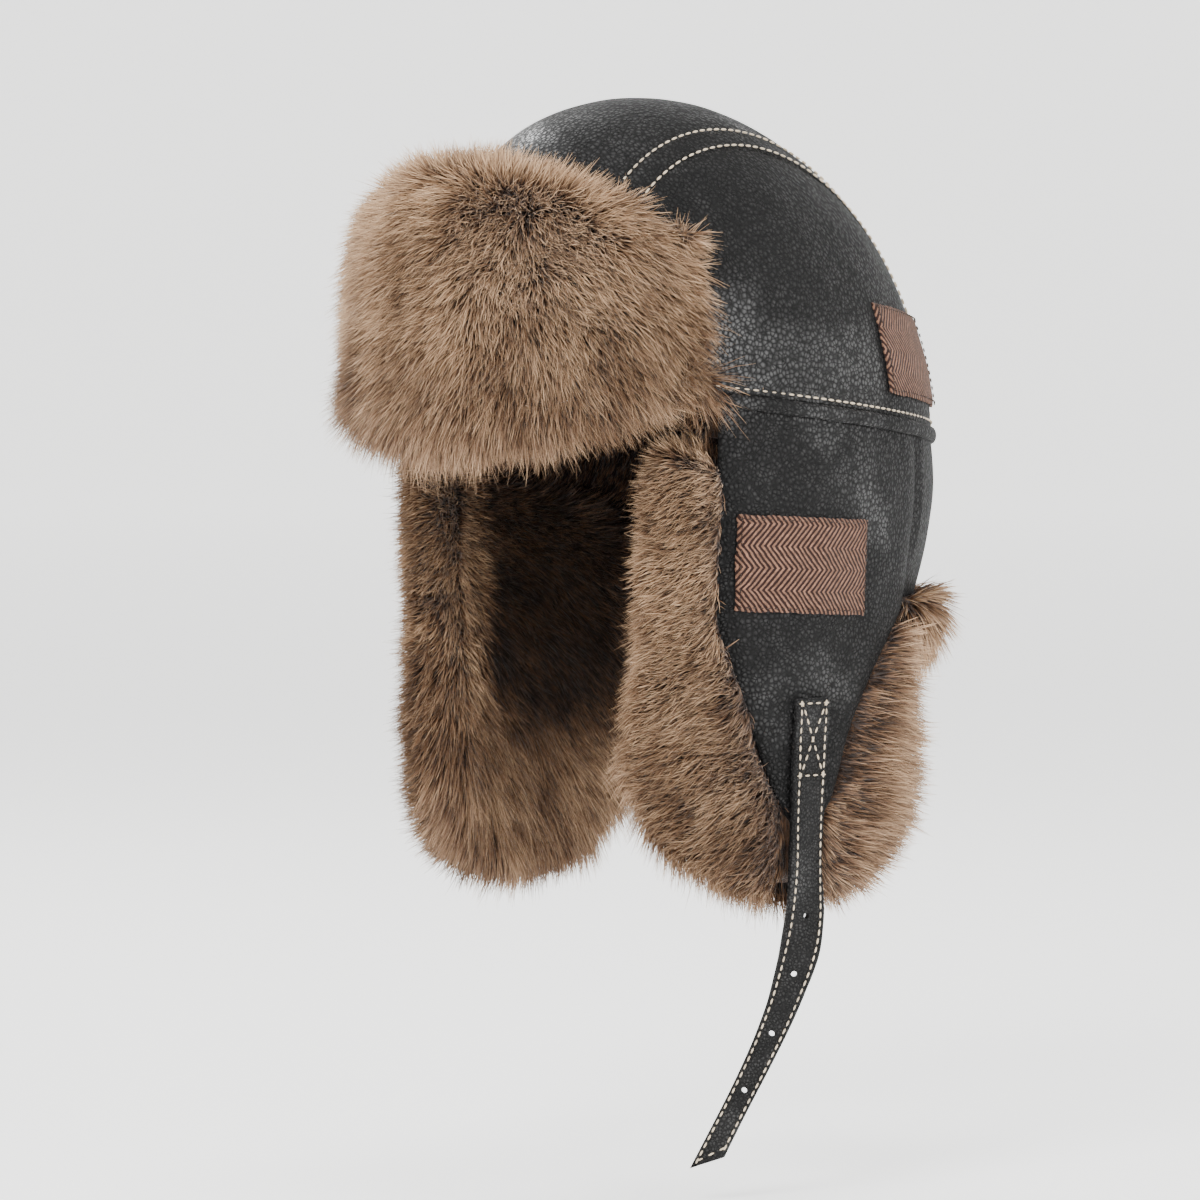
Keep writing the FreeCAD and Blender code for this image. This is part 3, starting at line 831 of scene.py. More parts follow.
def seam_strip(name, node, sign):
    """The folded strip that covers a seam: raised, with its edges turned under."""
    half = 0.0053
    across = np.linspace(-1, 1, 11)
    lift = 0.0012 * np.sqrt(np.clip(1 - across**4, 0, 1)) - 0.0002
    lines = []
    for share, height in zip(across, lift):
        points, out = seam_line(shape().seam_x + share * half)
        wave = ripple(points, 0.011, 9)[:, None] * 0.0002
        lines.append(points + out * (height + wave))
    points = np.stack(lines, axis=1)
    points[..., 0] *= sign
    obj = grid_object(name, points)
    outward(obj)
    give_thickness(obj, 0.0009)
    return complete(obj, "crown", material("leather"), [node])


def seam_stitching(name, node, sign):
    paths, outs = [], []
    for side in (-1, 1):
        points, out = seam_line(shape().seam_x + side * 0.0040, 260, 0.12, math.pi - 0.03)
        points = points + out * 0.00125
        flip = np.array([sign, 1, 1])
        paths.append(points * flip)
        outs.append(out * flip)
    obj = stitch_rows(name, paths, outs)
    return complete(obj, "crown", material("thread"), [node])


def band_angle(front_y):
    return math.asin(front_y / shape().half_depth)


def band_line(front_y, lift, depth, count=400):
    """Points round the hat a little above or below the hatband, from one temple to the other."""
    s = shape()
    start = band_angle(front_y)
    t = np.linspace(start, math.pi - start, count)
    points = tube_point(t, 0 * t, depth)
    points[:, 2] = lift - s.drop * points[:, 1]
    return points, round_out(t)


def hatband_lip():
    """The crown's lower edge, turned over a cord so that it stands out as a roll."""
    rows, out = band_line(-0.058, -0.0026, -0.0006, 260)
    turn = np.linspace(0, 2 * math.pi, 18, endpoint=False)
    ends = np.clip(np.minimum(np.arange(len(rows)), np.arange(len(rows))[::-1]) / 4.0, 0.15, 1)
    wave = ripple(rows, 0.013, 2) * 0.00025
    section_out = np.cos(turn)[None, :] * (0.0017 + wave)[:, None] * ends[:, None]
    section_up = np.sin(turn)[None, :] * (0.0029 + wave)[:, None] * ends[:, None]
    points = rows[:, None, :] + out[:, None, :] * section_out[..., None]
    points = points + np.array([0, 0, 1.0]) * section_up[..., None]
    obj = grid_object("hatband_roll", points, around=True)
    fill_ends(obj, points)
    return complete(obj, "crown", material("leather"), ["hatband_lip"])


def close_rings(obj, columns, rings):
    """Put one face over each given ring of points of an object made by grid_object."""
    work = bmesh.new()
    work.from_mesh(obj.data)
    work.verts.ensure_lookup_table()
    for ring in rings:
        work.faces.new([work.verts[ring * columns + i] for i in range(columns)])
    work.to_mesh(obj.data)
    work.free()


def fill_ends(obj, points):
    """Close the two ends of a tube made by grid_object, with its faces outwards."""
    close_rings(obj, points.shape[1], (0, points.shape[0] - 1))
    work = bmesh.new()
    work.from_mesh(obj.data)
    bmesh.ops.recalc_face_normals(work, faces=work.faces)
    work.to_mesh(obj.data)
    work.free()


def hatband_stitching():
    points, out = band_line(-0.058, 0.0026, -0.0003)
    obj = stitch_rows("hatband_thread", [points], [out])
    return complete(obj, "crown", material("thread"), ["hatband_stitching"])


def crown_lining():
    """The quilted lining, hemmed over the wadding at the head opening."""
    rows, columns = 64, 160
    rise = np.linspace(0, 1, rows) * (math.pi / 2 - 0.03)
    t = np.linspace(0, 2 * math.pi, columns, endpoint=False)
    direction = np.stack([
        np.cos(rise)[:, None] * np.cos(t), np.cos(rise)[:, None] * np.sin(t), np.sin(rise)[:, None] + 0 * t,
    ], axis=-1)
    quilt_a = np.abs(np.sin(t[None, :] * 9 + rise[:, None] * 9))
    quilt_b = np.abs(np.sin(t[None, :] * 9 - rise[:, None] * 9))
    swell = np.sqrt(np.minimum(quilt_a, quilt_b)) * 0.0016 * np.cos(rise)[:, None]
    inner = dome_point(direction, 0.0090) * (1 - swell[..., None] * 8)
    hem = [dome_point(direction[0], depth) - np.array([0, 0, drop])
           for depth, drop in ((0.0022, -0.0006), (0.0026, 0.0004), (0.0050, 0.0010), (0.0080, 0.0006))]
    points = np.concatenate([np.stack(hem), inner])
    obj = grid_object("quilted_crown_lining", points, around=True)
    close_rings(obj, columns, (rows + len(hem) - 1,))
    outward(obj)
    obj.data.flip_normals()
    give_thickness(obj, 0.0008)
    return complete(obj, "crown", material("lining"), ["crown_lining", "crown_wadding"])


# ---- Neck leather and ear flaps ----------------------------------------------------------------


NAPE_BOTTOM = -0.078
FOLD_END = 0.058


def cut_y(z):
    """The y of the line square to the fold at the flap's back end."""
    return (FOLD_END - (FOLD_Z - z) * math.sin(FOLD_SLOPE)) / math.cos(FOLD_SLOPE)


def nape_edge_y(z):
    return np.where(z > FOLD_Z - FOLD_END * math.sin(FOLD_SLOPE), FOLD_END * math.cos(FOLD_SLOPE), cut_y(z))


def soft_leather(points, amount, seed):
    """Broad slack and fine creases of leather that hangs over a soft lining."""
    broad = ripple(points * np.array([1, 1, 0.55]), 0.034, seed)
    fine = ripple(points * np.array([1, 1, 0.7]), 0.013, seed + 5)
    return amount * (broad * 0.75 + fine * 0.25)


def neck_curtain():
    """The fixed leather round the nape, tucked a little under the flaps' back edges."""
    s = shape()
    rows, columns = 48, 150
    down = np.linspace(0, 1, rows)
    z_row = NAPE_BOTTOM * down
    edge = nape_edge_y(z_row) - 0.004
    start = np.arcsin(edge / (s.half_depth * (1 + s.taper * z_row)))
    share = np.linspace(0, 1, columns)
    t = start[:, None] + (math.pi - 2 * start[:, None]) * share[None, :]
    z = z_row[:, None] + 0 * t
    flat = tube_point(t, z)
    slope = (1 - down)[:, None]
    z = z - s.drop * flat[..., 1] * slope + 0.004 * np.clip(flat[..., 1] / s.half_depth, 0, 1) * (1 - slope)
    tuck = np.clip(np.minimum(share, 1 - share)[None, :] * columns / 6.0, 0, 1)
    bulge = 0.0022 * np.sin(down * math.pi)[:, None] - 0.0035 * (down**2)[:, None]
    points = tube_point(t, z)
    bulge = bulge + soft_leather(points, 0.0016, 11) * np.sin(down * math.pi)[:, None] * tuck
    bulge = bulge * tuck - (1 - tuck) * 0.0011
    points = points + round_out(t) * bulge[..., None]
    obj = grid_object("neck_curtain_leather", points)
    outward(obj)
    give_thickness(obj, LEATHER_THICK)
    return complete(obj, "crown", material("leather"), ["neck_curtain"])


FLAP_FRONT_EDGE = ((0.0, -0.040, -0.085, -0.118, -0.150), (-0.057, -0.057, -0.0565, -0.043, -0.0305))
FLAP_BACK_EDGE = ((-0.080, -0.098, -0.120, -0.150), (0.0460, 0.0285, 0.0120, 0.0))
FLAP_TIP = -0.164
TIP_START = -0.148


def flap_edges(z):
    """The y of the front and back edges of the flap's leather at each height."""
    front = smooth_curve(-np.array(FLAP_FRONT_EDGE[0]), FLAP_FRONT_EDGE[1], -z)
    back_low = smooth_curve(-np.array(FLAP_BACK_EDGE[0]), FLAP_BACK_EDGE[1], -z)
    back = np.where(z > FLAP_BACK_EDGE[0][0], nape_edge_y(z), back_low)
    middle = (front + back) / 2
    round_tip = np.clip((TIP_START - z) / (TIP_START - FLAP_TIP), 0, 1)
    narrow = np.sqrt(1 - round_tip**2 * 0.9995)
    return middle + (front - middle) * narrow, middle + (back - middle) * narrow


def flap_sheet():
    """Grid of the left side's leather, from the hatband down to the flap's rounded tip."""
    s = shape()
    rows, columns = 110, 64
    down = np.linspace(0, 1, rows)
    z_row = FLAP_TIP * np.sin(down * math.pi / 2) ** 1.15
    front, back = flap_edges(z_row)
    share = np.linspace(0, 1, columns)[None, :]
    y = front[:, None] + (back - front)[:, None] * share
    fade = np.clip(1 + z_row / 0.060, 0, 1) ** 1.5
    z = z_row[:, None] - s.drop * y * fade[:, None]
    middle = np.minimum(share, 1 - share) * 2
    from_edge = np.clip(np.minimum(middle * 3.2, (1 - down)[:, None] * 7.0 + 0 * middle), 0, 1)
    puff = 0.0030 * from_edge * (2 - from_edge) * np.clip(down * 6, 0, 1)[:, None] - 0.0010
    points = tube_at(y, z)
    slack = soft_leather(points, 0.0024, 21) * from_edge * np.clip(down * 8, 0.15, 1)[:, None]
    folds = np.sin(y * 190 + z * 60) * np.exp(-((z + 0.024) / 0.014) ** 2) * 0.0006
    out = tube_out(points)
    return points + out * (puff + slack + folds)[..., None], out


def flap_leather():
    """Each side's leather is one sheet across the fold line."""
    points, _ = flap_sheet()
    left = grid_object("left_flap_skin", points)
    clean(left, 1e-5)
    outward(left)
    give_thickness(left, 0.0015)
    right = mirrored_copy(left, "right_flap_skin")
    for obj, side, sign in ((left, "left", 1), (right, "right", -1)):
        nodes = [side + "_flap_leather", side + "_flap_wadding"]
        complete(obj, None, material("leather"), nodes)
        fold_with(obj)


def fold_with(obj):
    """Bake the placement of a piece that crosses the fold line into its mesh."""
    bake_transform(obj)


# ---- Fur ---------------------------------------------------------------------------------------


def pillow(name, nodes, shrink=0.0, smoothing=10, cap=0.004):
    """A soft body that starts from the plain solids and is blown up like a stuffed pad."""
    work = bmesh.new()
    for node in nodes:
        work.from_mesh(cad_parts[node].data)
    mesh = bpy.data.meshes.new(name)
    bmesh.ops.remove_doubles(work, verts=work.verts, dist=1e-6)
    work.to_mesh(mesh)
    work.free()
    obj = new_object(name, mesh)
    remesh = obj.modifiers.new("Even faces", "REMESH")
    remesh.mode = "VOXEL"
    remesh.voxel_size = 0.0042
    smooth = obj.modifiers.new("Round off", "SMOOTH")
    smooth.iterations = smoothing
    smooth.factor = 0.5
    bake_modifiers(obj)
    inflate(obj, cap)
    refine = obj.modifiers.new("Refine", "SUBSURF")
    refine.levels = refine.render_levels = 1
    bake_modifiers(obj)
    points = vertices(obj)
    normals = vertex_normals(obj)
    lumps = ripple(points, 0.026, 31) * 0.0022 + ripple(points, 0.011, 37) * 0.0012
    set_vertices(obj, points + normals * (lumps - shrink)[:, None])
    shade_smooth(obj)
    return obj


def vertex_normals(obj):
    flat = np.empty(len(obj.data.vertices) * 3)
    obj.data.vertices.foreach_get("normal", flat)
    return flat.reshape(-1, 3)


def inflate(obj, cap):
    """A short cloth simulation with air pressure and no weight; no point moves past the cap."""
    before = vertices(obj)
    cloth = obj.modifiers.new("Cloth", "CLOTH")
    cloth.settings.use_pressure = True
    cloth.settings.uniform_pressure_force = 4.0
    cloth.settings.effector_weights.gravity = 0.0
    cloth.settings.quality = 4
    cloth.point_cache.frame_end = 20
    scene = bpy.context.scene
    for step in range(1, 21):
        scene.frame_set(step)
        bpy.context.view_layer.update()
    bake_modifiers(obj)
    scene.frame_set(1)
    after = vertices(obj)
    move = after - before
    length = np.linalg.norm(move, axis=1, keepdims=True)
    set_vertices(obj, before + move * np.minimum(1, cap / np.maximum(length, 1e-9)))


def store(obj, name, values):
    kind = "FLOAT_VECTOR" if values.ndim == 2 else "FLOAT"
    layer = obj.data.attributes.new(name, kind, "POINT")
    layer.data.foreach_set("vector" if values.ndim == 2 else "value", values.reshape(-1).astype(np.float32))


def comb_over(obj, direction):
    """Lay a wished direction down onto the surface at each point."""
    normals = vertex_normals(obj)
    return direction - normals * (direction * normals).sum(axis=1, keepdims=True)


# The shade layer holds random darker patches of the fur plus painted shade and painted light.
PELT_LAYERS = ("hairy", "comb", "reach", "shade")


def coats(pelt, name, body, hairy, comb, reach, shade, seed, layers=2):
    """A dense coat of tufts over a pelt, with a second coat of longer guard hairs."""
    for layer, values in zip(PELT_LAYERS, (hairy, comb, reach, shade)):
        store(pelt, layer, values)
    area = sum(f.area * hairy[f.vertices[0]] for f in pelt.data.polygons)
    kinds = (("_tufts", 1.0, 1.0, 0.30), ("_guard_hairs", 1.12, 0.62, 0.40))[:layers]
    for index, (ending, longer, thinner, stray) in enumerate(kinds):
        coat = new_object(name + ending, pelt.data.copy())
        tree("fur").run(coat, {
            "Density": finish().tufts / area, "Length": finish().hair_length * longer,
            "Width": finish().hair_width * thinner, "Stray": stray, "Seed": seed + index,
            "Material": material("strands"),
        })
        for extra in (*PELT_LAYERS, "bend"):
            if extra in coat.data.attributes:
                coat.data.attributes.remove(coat.data.attributes[extra])
        shade_smooth(coat)
        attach(coat, body)
    for extra in PELT_LAYERS:
        pelt.data.attributes.remove(pelt.data.attributes[extra])


def ramp(values, low, high):
    """0 below low, 1 above high, smooth in between (low may be the larger)."""
    share = np.clip((values - low) / (high - low), 0, 1)
    return share * share * (3 - 2 * share)


def visor_fur():
    pelt = pillow("visor_pelt", ["visor_fur", "visor_padding"], shrink=0.007, smoothing=16, cap=0.003)
    points = vertices(pelt)
    points[:, 0] *= 0.93
    points[:, 2] -= 0.006 * np.clip(1 - (points[:, 0] / 0.08) ** 2, 0, 1) * ramp(points[:, 2], 0.05, 0.0)
    set_vertices(pelt, points)
    normals = vertex_normals(pelt)
    radial = points - np.array([0, -0.02, 0.045])
    radial[:, 2] *= 0.3
    facing = (unit(radial) * normals).sum(axis=1)
    hairy = np.clip((facing + 0.55) / 0.35, 0, 1)
    spread = (points - np.array([0, 0, 0.050])) / 0.055
    spread[:, 1] = 0
    wish = spread * np.abs(spread) * 0.42 + spread * 0.10 + np.array([0, 0, -0.55])
    comb = comb_over(pelt, wish)
    reach = 1.0 + 0.35 * ramp(points[:, 2], 0.022, 0.0)
    # Random darker streaks of the fur's own colour.
    shade = 0.35 * ramp(ripple(points * np.array([1, 1, 0.3]), 0.016, 71), -0.1, 0.5)
    # Painted shade on the visor's lower part and painted light on its top.
    shade = shade + 0.42 * ramp(points[:, 2], 0.045, 0.0) - 0.42 * ramp(points[:, 2], 0.066, 0.092)
    coats(pelt, "visor_fur", "visor", hairy, comb, reach, shade, 11)
    complete(pelt, "visor", material("under_fur"), ["visor_fur", "visor_padding"])


def under_leather(points, margin):
    """1 where a point lies behind the flap's leather tongue, 0 past its edge."""
    z = np.clip(points[:, 2], FLAP_TIP + 1e-5, 0)
    front, back = flap_edges(z)
    inside = np.minimum(points[:, 1] - front, back - points[:, 1])
    inside = np.minimum(inside, points[:, 2] - FLAP_TIP)
    return np.clip(inside / margin, 0, 1)


def thinner_pad(points, start, share):
    """Bring the side of a pad that faces the head closer to the leather."""
    extra = np.clip(tube_depth(points) - start, 0, None) * (1 - share)
    return points + tube_out(points) * extra[:, None]


def shaped_flap_pad(points):
    """A left flap's pad with its front end square to the leather and a flatter outer rim."""
    depth = tube_depth(points)
    back = 0.80 * np.clip(depth + 0.002, 0, None) * ramp(points[:, 1], -0.035, -0.070)
    inner = np.where(depth > 0.006, 0.006 + (depth - 0.006) * 0.70, depth)
    inner = np.where(inner < 0, inner * 0.40, inner)
    return tube_at(points[:, 1] + back, points[:, 2], inner)


def flap_flow(points, facing):
    """Hair flows away from the leather tongue outside, and down and outwards inside."""
    front, back = flap_edges(np.clip(points[:, 2], FLAP_TIP + 0.004, 0))
    middle, half = (front + back) / 2, np.maximum((back - front) / 2, 0.014)
    side = np.clip((points[:, 1] - middle) / half, -1, 1)
    zero = 0 * side
    outside = np.stack([zero, side * 1.05, -0.30 - 0.75 * (1 - side**2)], axis=-1)
    spread = points - np.array([0, -0.014, -0.080])
    inside = spread / 0.07 * 0.85 + np.array([0, 0, -0.60])
    inside[:, 0] = 0
    share = ramp(facing, -0.2, 0.5)[:, None]
    return inside * (1 - share) + outside * share, side


def flap_fur(side, sign, seed, corridor):
    """The fur lining of one ear flap, with room for what hangs down over its outer face."""
    pelt = pillow(side + "_flap_pelt", [side + "_flap_fur"], shrink=0.0025, smoothing=12, cap=0.002)
    points = vertices(pelt)
    points[:, 0] *= sign
    points = shaped_flap_pad(points)
    covered = under_leather(points, 0.004)
    beside = np.abs(points[:, 1] - STRAP_Y) - corridor
    in_corridor = np.clip(1 - beside / 0.004, 0, 1) * (points[:, 2] < STRAP_TOP + 0.002)
    wanted = np.maximum(0.0042 * covered, 0.0015 * in_corridor)
    hidden = np.maximum(covered, in_corridor)
    push = np.clip(wanted - tube_depth(points), 0, None) * hidden
    points = points - tube_out(points) * push[:, None]
    out = tube_out(points) * np.array([sign, 1, 1])
    placed = points * np.array([sign, 1, 1])
    set_vertices(pelt, placed)
    facing = (out * vertex_normals(pelt)).sum(axis=1)
    hairy = np.where(((covered > 0.3) | (beside < 0)) & (facing > 0.1), 0.0, 1.0)
    flow, side_share = flap_flow(points, facing)
    normals = vertex_normals(pelt)
    rim = ramp(-side_share * normals[:, 1], 0.0, 0.5) * ramp(facing, -0.1, 0.2)
    comb = comb_over(pelt, flow) + (flow - normals) * (0.8 * rim)[:, None]
    reach = 1.0 - 0.25 * np.clip(-facing - 0.4, 0, 1)
    reach = reach * np.where((facing > 0) & (beside < 0.006), 0.62, 1.0)
    reach = reach * (1 - 0.25 * ramp(points[:, 1], -0.055, -0.066) * ramp(points[:, 2], -0.12, -0.09))
    reach = reach * (1 - 0.4 * rim)
    # inside and deep mark the inner face in the deep part of the flap, which gets painted shade.
    inside = ramp(facing, 0.1, -0.35)
    deep = ramp(points[:, 1], -0.062, -0.045) * ramp(points[:, 2], -0.142, -0.100)
    # Random darker patches of the fur's own colour, plus painted shade on that inner face.
    shade = 0.32 * ramp(ripple(placed, 0.013, 73), -0.1, 0.5) + 1.15 * inside * deep
    # Painted shade on the flap's lower front part.
    shade = shade + 0.34 * ramp(points[:, 2], -0.085, -0.135) * ramp(points[:, 1], 0.03, 0.0)
    # Painted shade all over the right flap, which lies in shadow.
    shade = shade + (0.16 if sign < 0 else 0.0)
    coats(pelt, side + "_flap_fur", side + "_flap", hairy, comb, reach, shade, seed)
    complete(pelt, side + "_flap", material("under_fur"), [side + "_flap_fur"])


def nape_fur():
    pelt = pillow("nape_pelt", ["nape_fur"], shrink=0.002, smoothing=10, cap=0.002)
    points = thinner_pad(vertices(pelt), 0.008, 0.7)
    points = points + tube_out(points) * (np.clip(tube_depth(points), None, 0) * 0.6)[:, None]
    points -= tube_out(points) * (0.006 * ramp(points[:, 2], -0.080, -0.102))[:, None]
    meets_flap = ramp(points[:, 1], 0.066, 0.046)
    points[:, 2] -= 0.006 * meets_flap * ramp(points[:, 2], -0.078, -0.092)
    points -= tube_out(points) * (0.0035 * meets_flap * ramp(points[:, 2], -0.078, -0.086))[:, None]
    covered = (points[:, 2] > NAPE_BOTTOM + 0.001).astype(float)
    out = tube_out(points)
    push = np.clip(0.0045 - tube_depth(points), 0, None) * covered
    points = points - out * push[:, None]
    set_vertices(pelt, points)
    facing = (out * vertex_normals(pelt)).sum(axis=1)
    hairy = np.where((covered > 0.5) & (facing > 0.1), 0.0, 1.0)
    ends = ramp(points[:, 1], 0.068, 0.045)
    wish = np.stack([0 * ends, -0.9 * ends, -1.1 + 0 * ends], axis=-1)
    comb = comb_over(pelt, wish)
    reach = np.where(facing > -0.2, 1.05, 0.75) * (1 - 0.4 * meets_flap)
    # Random darker patches of the fur's own colour, plus painted shade on the fur that faces in towards the
    # head.
    shade = 0.25 * ramp(ripple(points, 0.013, 79), -0.1, 0.5) + 1.2 * ramp(facing, 0.1, -0.35)
    coats(pelt, "nape_fur", "crown", hairy, comb, reach, shade, 47, 1)
    complete(pelt, "crown", material("under_fur"), ["nape_fur"])


# ---- Visor leather -----------------------------------------------------------------------------


def visor_leather():
    """The leather face of the visor, which looks at the crown while the visor is folded up."""
    s = shape()
    a, b, c = 0.0953, 0.1143, 0.1381
    rows, columns = 40, 100
    heights = (-0.004, 0.026, 0.056, 0.082, 0.094, 0.0972)
    widths = (0.0740, 0.0760, 0.0700, 0.0560, 0.0300, 0.0060)
    z = np.linspace(0, 1, rows) ** 0.9 * (heights[-1] - heights[0]) + heights[0]
    half = smooth_curve(heights, widths, z)
    x = half[:, None] * np.linspace(-1, 1, columns)[None, :]
    x0 = x / a
    y0 = -np.sqrt(1 - x0**2)
    for _ in range(12):
        z0 = (z[:, None] + s.drop * b * y0) / c
        y0 = -np.sqrt(np.clip(1 - x0**2 - z0**2, 0.01, 1))
    points = np.stack([x, b * y0 - s.lean * c * z0, z[:, None] + 0 * x], axis=-1)
    points[..., 1] -= np.abs(soft_leather(points, 0.0012, 51))
    obj = grid_object("visor_backing", points)
    if sum(f.normal.y * f.area for f in obj.data.polygons) < 0:
        obj.data.flip_normals()
    give_thickness(obj, 0.0014)
    return complete(obj, "visor", material("leather"), ["visor_leather"])


# ---- Patches -----------------------------------------------------------------------------------


def patch_object(name, place, width, height, body, nodes):
    """A cloth patch on a surface: place(u, v) gives points and outward directions."""
    columns, rows = 76, 50
    u = np.linspace(0, 1, columns)[None, :] + np.zeros((rows, 1))
    v = np.linspace(0, 1, rows)[:, None] + np.zeros((1, columns))
    fray_u = ripple(np.stack([v * height, u * 0, u * 0 + 3], -1), 0.0021, 61) * 0.011
    fray_v = ripple(np.stack([u * width, u * 0, v * 0 + 7], -1), 0.0021, 63) * 0.015
    points, out = place(u + fray_u * (2 * u - 1) ** 2, v + fray_v * (2 * v - 1) ** 2)
    edge = np.clip(np.minimum(np.minimum(u, 1 - u) * width, np.minimum(v, 1 - v) * height) / 0.0022, 0, 1)
    lift = 0.0009 + 0.0007 * np.sqrt(edge) + ripple(points, 0.006, 5) * 0.00022
    points = points + out * lift[..., None]
    uv = np.stack([u * width / MM, v * height / MM], axis=-1)
    obj = grid_object(name, points, uv)
    outward(obj)
    give_thickness(obj, 0.0011)
    return complete(obj, body, material("tweed"), nodes)


def patch_fringe(name, place, width, height, body, replaces):
    """The dark whip stitches that hold the patch down round its edge."""
    inset_u, inset_v = 0.0016 / width, 0.0016 / height
    corners = [(inset_u, inset_v), (1 - inset_u, inset_v), (1 - inset_u, 1 - inset_v), (inset_u, 1 - inset_v)]
    paths, outs = [], []
    for (u0, v0), (u1, v1) in zip(corners, corners[1:] + corners[:1]):
        share = np.linspace(0, 1, 40)[None, :]
        points, out = place(u0 + (u1 - u0) * share, v0 + (v1 - v0) * share)
        paths.append((points + out * 0.0021)[0])
        outs.append(out[0])
    obj = stitch_rows(name, paths, outs, 0.0030, 0.0019, 0.0006)
    return complete(obj, body, material("patch_thread"), replaces)


def flap_patch_place(u, v):
    """Left flap patch: u runs back, v runs up."""
    y = -0.050 + 0.0625 * u
    z = -0.0775 - 0.0035 * u + 0.0375 * v
    return flap_sheet_at(y, z)


def flap_sheet_at(y, z):
    """The nearest grid point of the flap's leather to each (y, z), read smoothly."""
    grid, out = flap_sheet()
    rows = grid.reshape(-1, 3)
    base = tube_at(rows[:, 1], rows[:, 2])
    flat_out = out.reshape(-1, 3)
    raised = ((rows - base) * flat_out).sum(axis=1)
    lift = np.empty(y.size)
    for i, (yy, zz) in enumerate(zip(y.reshape(-1), z.reshape(-1))):
        distance = (rows[:, 1] - yy) ** 2 + (rows[:, 2] - zz) ** 2
        near = np.argpartition(distance, 6)[:6]
        weight = 1 / (distance[near] + 1e-9)
        lift[i] = (raised[near] * weight).sum() / weight.sum()
    lift = lift.reshape(y.shape)
    points = tube_at(y, z)
    away = tube_out(points)
    return points + away * lift[..., None], away


def rear_patch_place(u, v):
    """Rear crown patch, level with the hatband: u runs back, v runs up."""
    s = shape()
    first, last = math.atan2(0.028, 0.087), math.atan2(0.084, 0.057)
    heading = first + (last - first) * u
    height = (0.009 + 0.035 * v) / s.height
    ring = np.sqrt(1 - height**2)
    t = np.arctan2(np.sin(heading) / s.half_depth, np.cos(heading) / s.half_width)
    direction = np.stack([ring * np.cos(t), ring * np.sin(t), height], axis=-1)
    points = dome_point(direction)
    out = unit(dome_point(direction, -0.001) - points)
    return points + out * 0.0004, out


PATCHES = (
    ("flap_tweed", flap_patch_place, (0.065, 0.0375), "left_flap", "left_flap_patch", "left_patch_stitching"),
    ("crown_tweed", rear_patch_place, (0.063, 0.035), "crown", "rear_crown_patch", "rear_patch_stitching"),
)


# ---- Chin strap --------------------------------------------------------------------------------


STRAP_Y = -0.018
STRAP_WIDTH = 0.0165
STRAP_THICK = 0.0030
STRAP_TOP = -0.112
TAIL_LENGTH = 0.102
TAIL_SHIFT = -0.038
TAIL_TURN = math.radians(52.0)
TAIL_HOLES = (0.045, 0.27, 0.50, 0.72)
HOLE_RADIUS = 0.0012
SEWN_ROWS = 40
BOX_ROWS = 16
STRAP_STITCH = (0.0034, 0.0026, 0.0008)


def tail_frame(part):
    """Centre, width direction and face direction of the hanging tail at a share of its length."""
    eased = part * part * (1.7 - 0.7 * part)
    share = min(1.0, max(0.0, (part + 0.22) / 0.66))
    turn = TAIL_TURN * share * share * (3 - 2 * share)
    across = Vector((math.sin(turn), math.cos(turn), 0))
    face = Vector((math.cos(turn), -math.sin(turn), 0))
    eased = eased if part > 0 else 0.0
    aside = Vector((math.sin(TAIL_TURN), math.cos(TAIL_TURN), 0)) * (TAIL_SHIFT * eased)
    centre = TAIL_HINGE + aside - Vector((0, 0, TAIL_LENGTH * part))
    lean = math.atan2(-TAIL_SHIFT * part * (3.4 - 2.1 * part), TAIL_LENGTH) * min(1.0, max(0.0, part) / 0.35)
    return centre, across * math.cos(lean) + UP * math.sin(lean), face


def strap_route(count_tail=90):
    """The strap's whole route: down over the leather and the fur, then free."""
    centres, widths, faces = [], [], []
    lift = STRAP_THICK / 2 + 0.0003
    z = np.linspace(STRAP_TOP, TAIL_HINGE.z + 0.002, SEWN_ROWS)
    on_leather, out = flap_sheet_at(np.full(z.shape, STRAP_Y), np.maximum(z, FLAP_TIP + 0.004))
    for i, height in enumerate(z):
        share = min(1.0, max(0.0, (height - STRAP_TOP) / (TAIL_HINGE.z - STRAP_TOP)))
        x = (on_leather[i][0] + lift * out[i][0]) * (1 - share**3) + TAIL_HINGE.x * share**3
        centres.append(Vector((x, STRAP_Y, height)))
        face = Vector((out[i][0], out[i][1] * (1 - share), 0)).normalized()
        _, _, turned = tail_frame((TAIL_HINGE.z - height) / TAIL_LENGTH)
        face = (face + (turned - Vector((1, 0, 0))) * share).normalized()
        faces.append(face)
        widths.append(UP.cross(face))
    for part in np.linspace(0.012, 1, count_tail):
        centre, across, face = tail_frame(float(part))
        centres.append(centre)
        widths.append(across)
        faces.append(face)
    return centres, widths, faces


def chin_strap():
    centres, widths, faces = strap_route()
    half, thick = STRAP_WIDTH / 2, STRAP_THICK / 2
    edge = 0.0007
    section = [
        (-half + edge, -thick), (half - edge, -thick), (half, -thick + edge), (half, thick - edge),
        (half - edge, thick), (half * 0.45, thick * 1.04), (-half * 0.45, thick * 1.04),
        (-half + edge, thick), (-half, thick - edge), (-half, -thick + edge),
    ]
    rows = []
    for i, (centre, across, face) in enumerate(zip(centres, widths, faces)):
        wave = 0.00035 * math.sin(i * 0.35)
        rows.append([tuple(centre + across * w + face * (t + wave)) for w, t in section])
    points = np.array(rows)
    tip = centres[-1] - centres[-2]
    slant = np.array(tip.normalized()) * 0.003
    share = np.array([w / half for w, _ in section])
    points[-1] += slant[None, :] * (share * 0.5)[:, None]
    obj = grid_object("chin_strap_leather", points, around=True)
    fill_ends(obj, points)
    for part in TAIL_HOLES:
        centre, _, face = tail_frame(part)
        punch(obj, centre, face, HOLE_RADIUS)
    complete(obj, None, material("strap"), ["chin_strap_sewn_end", "chin_strap_tail"])
    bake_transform(obj)


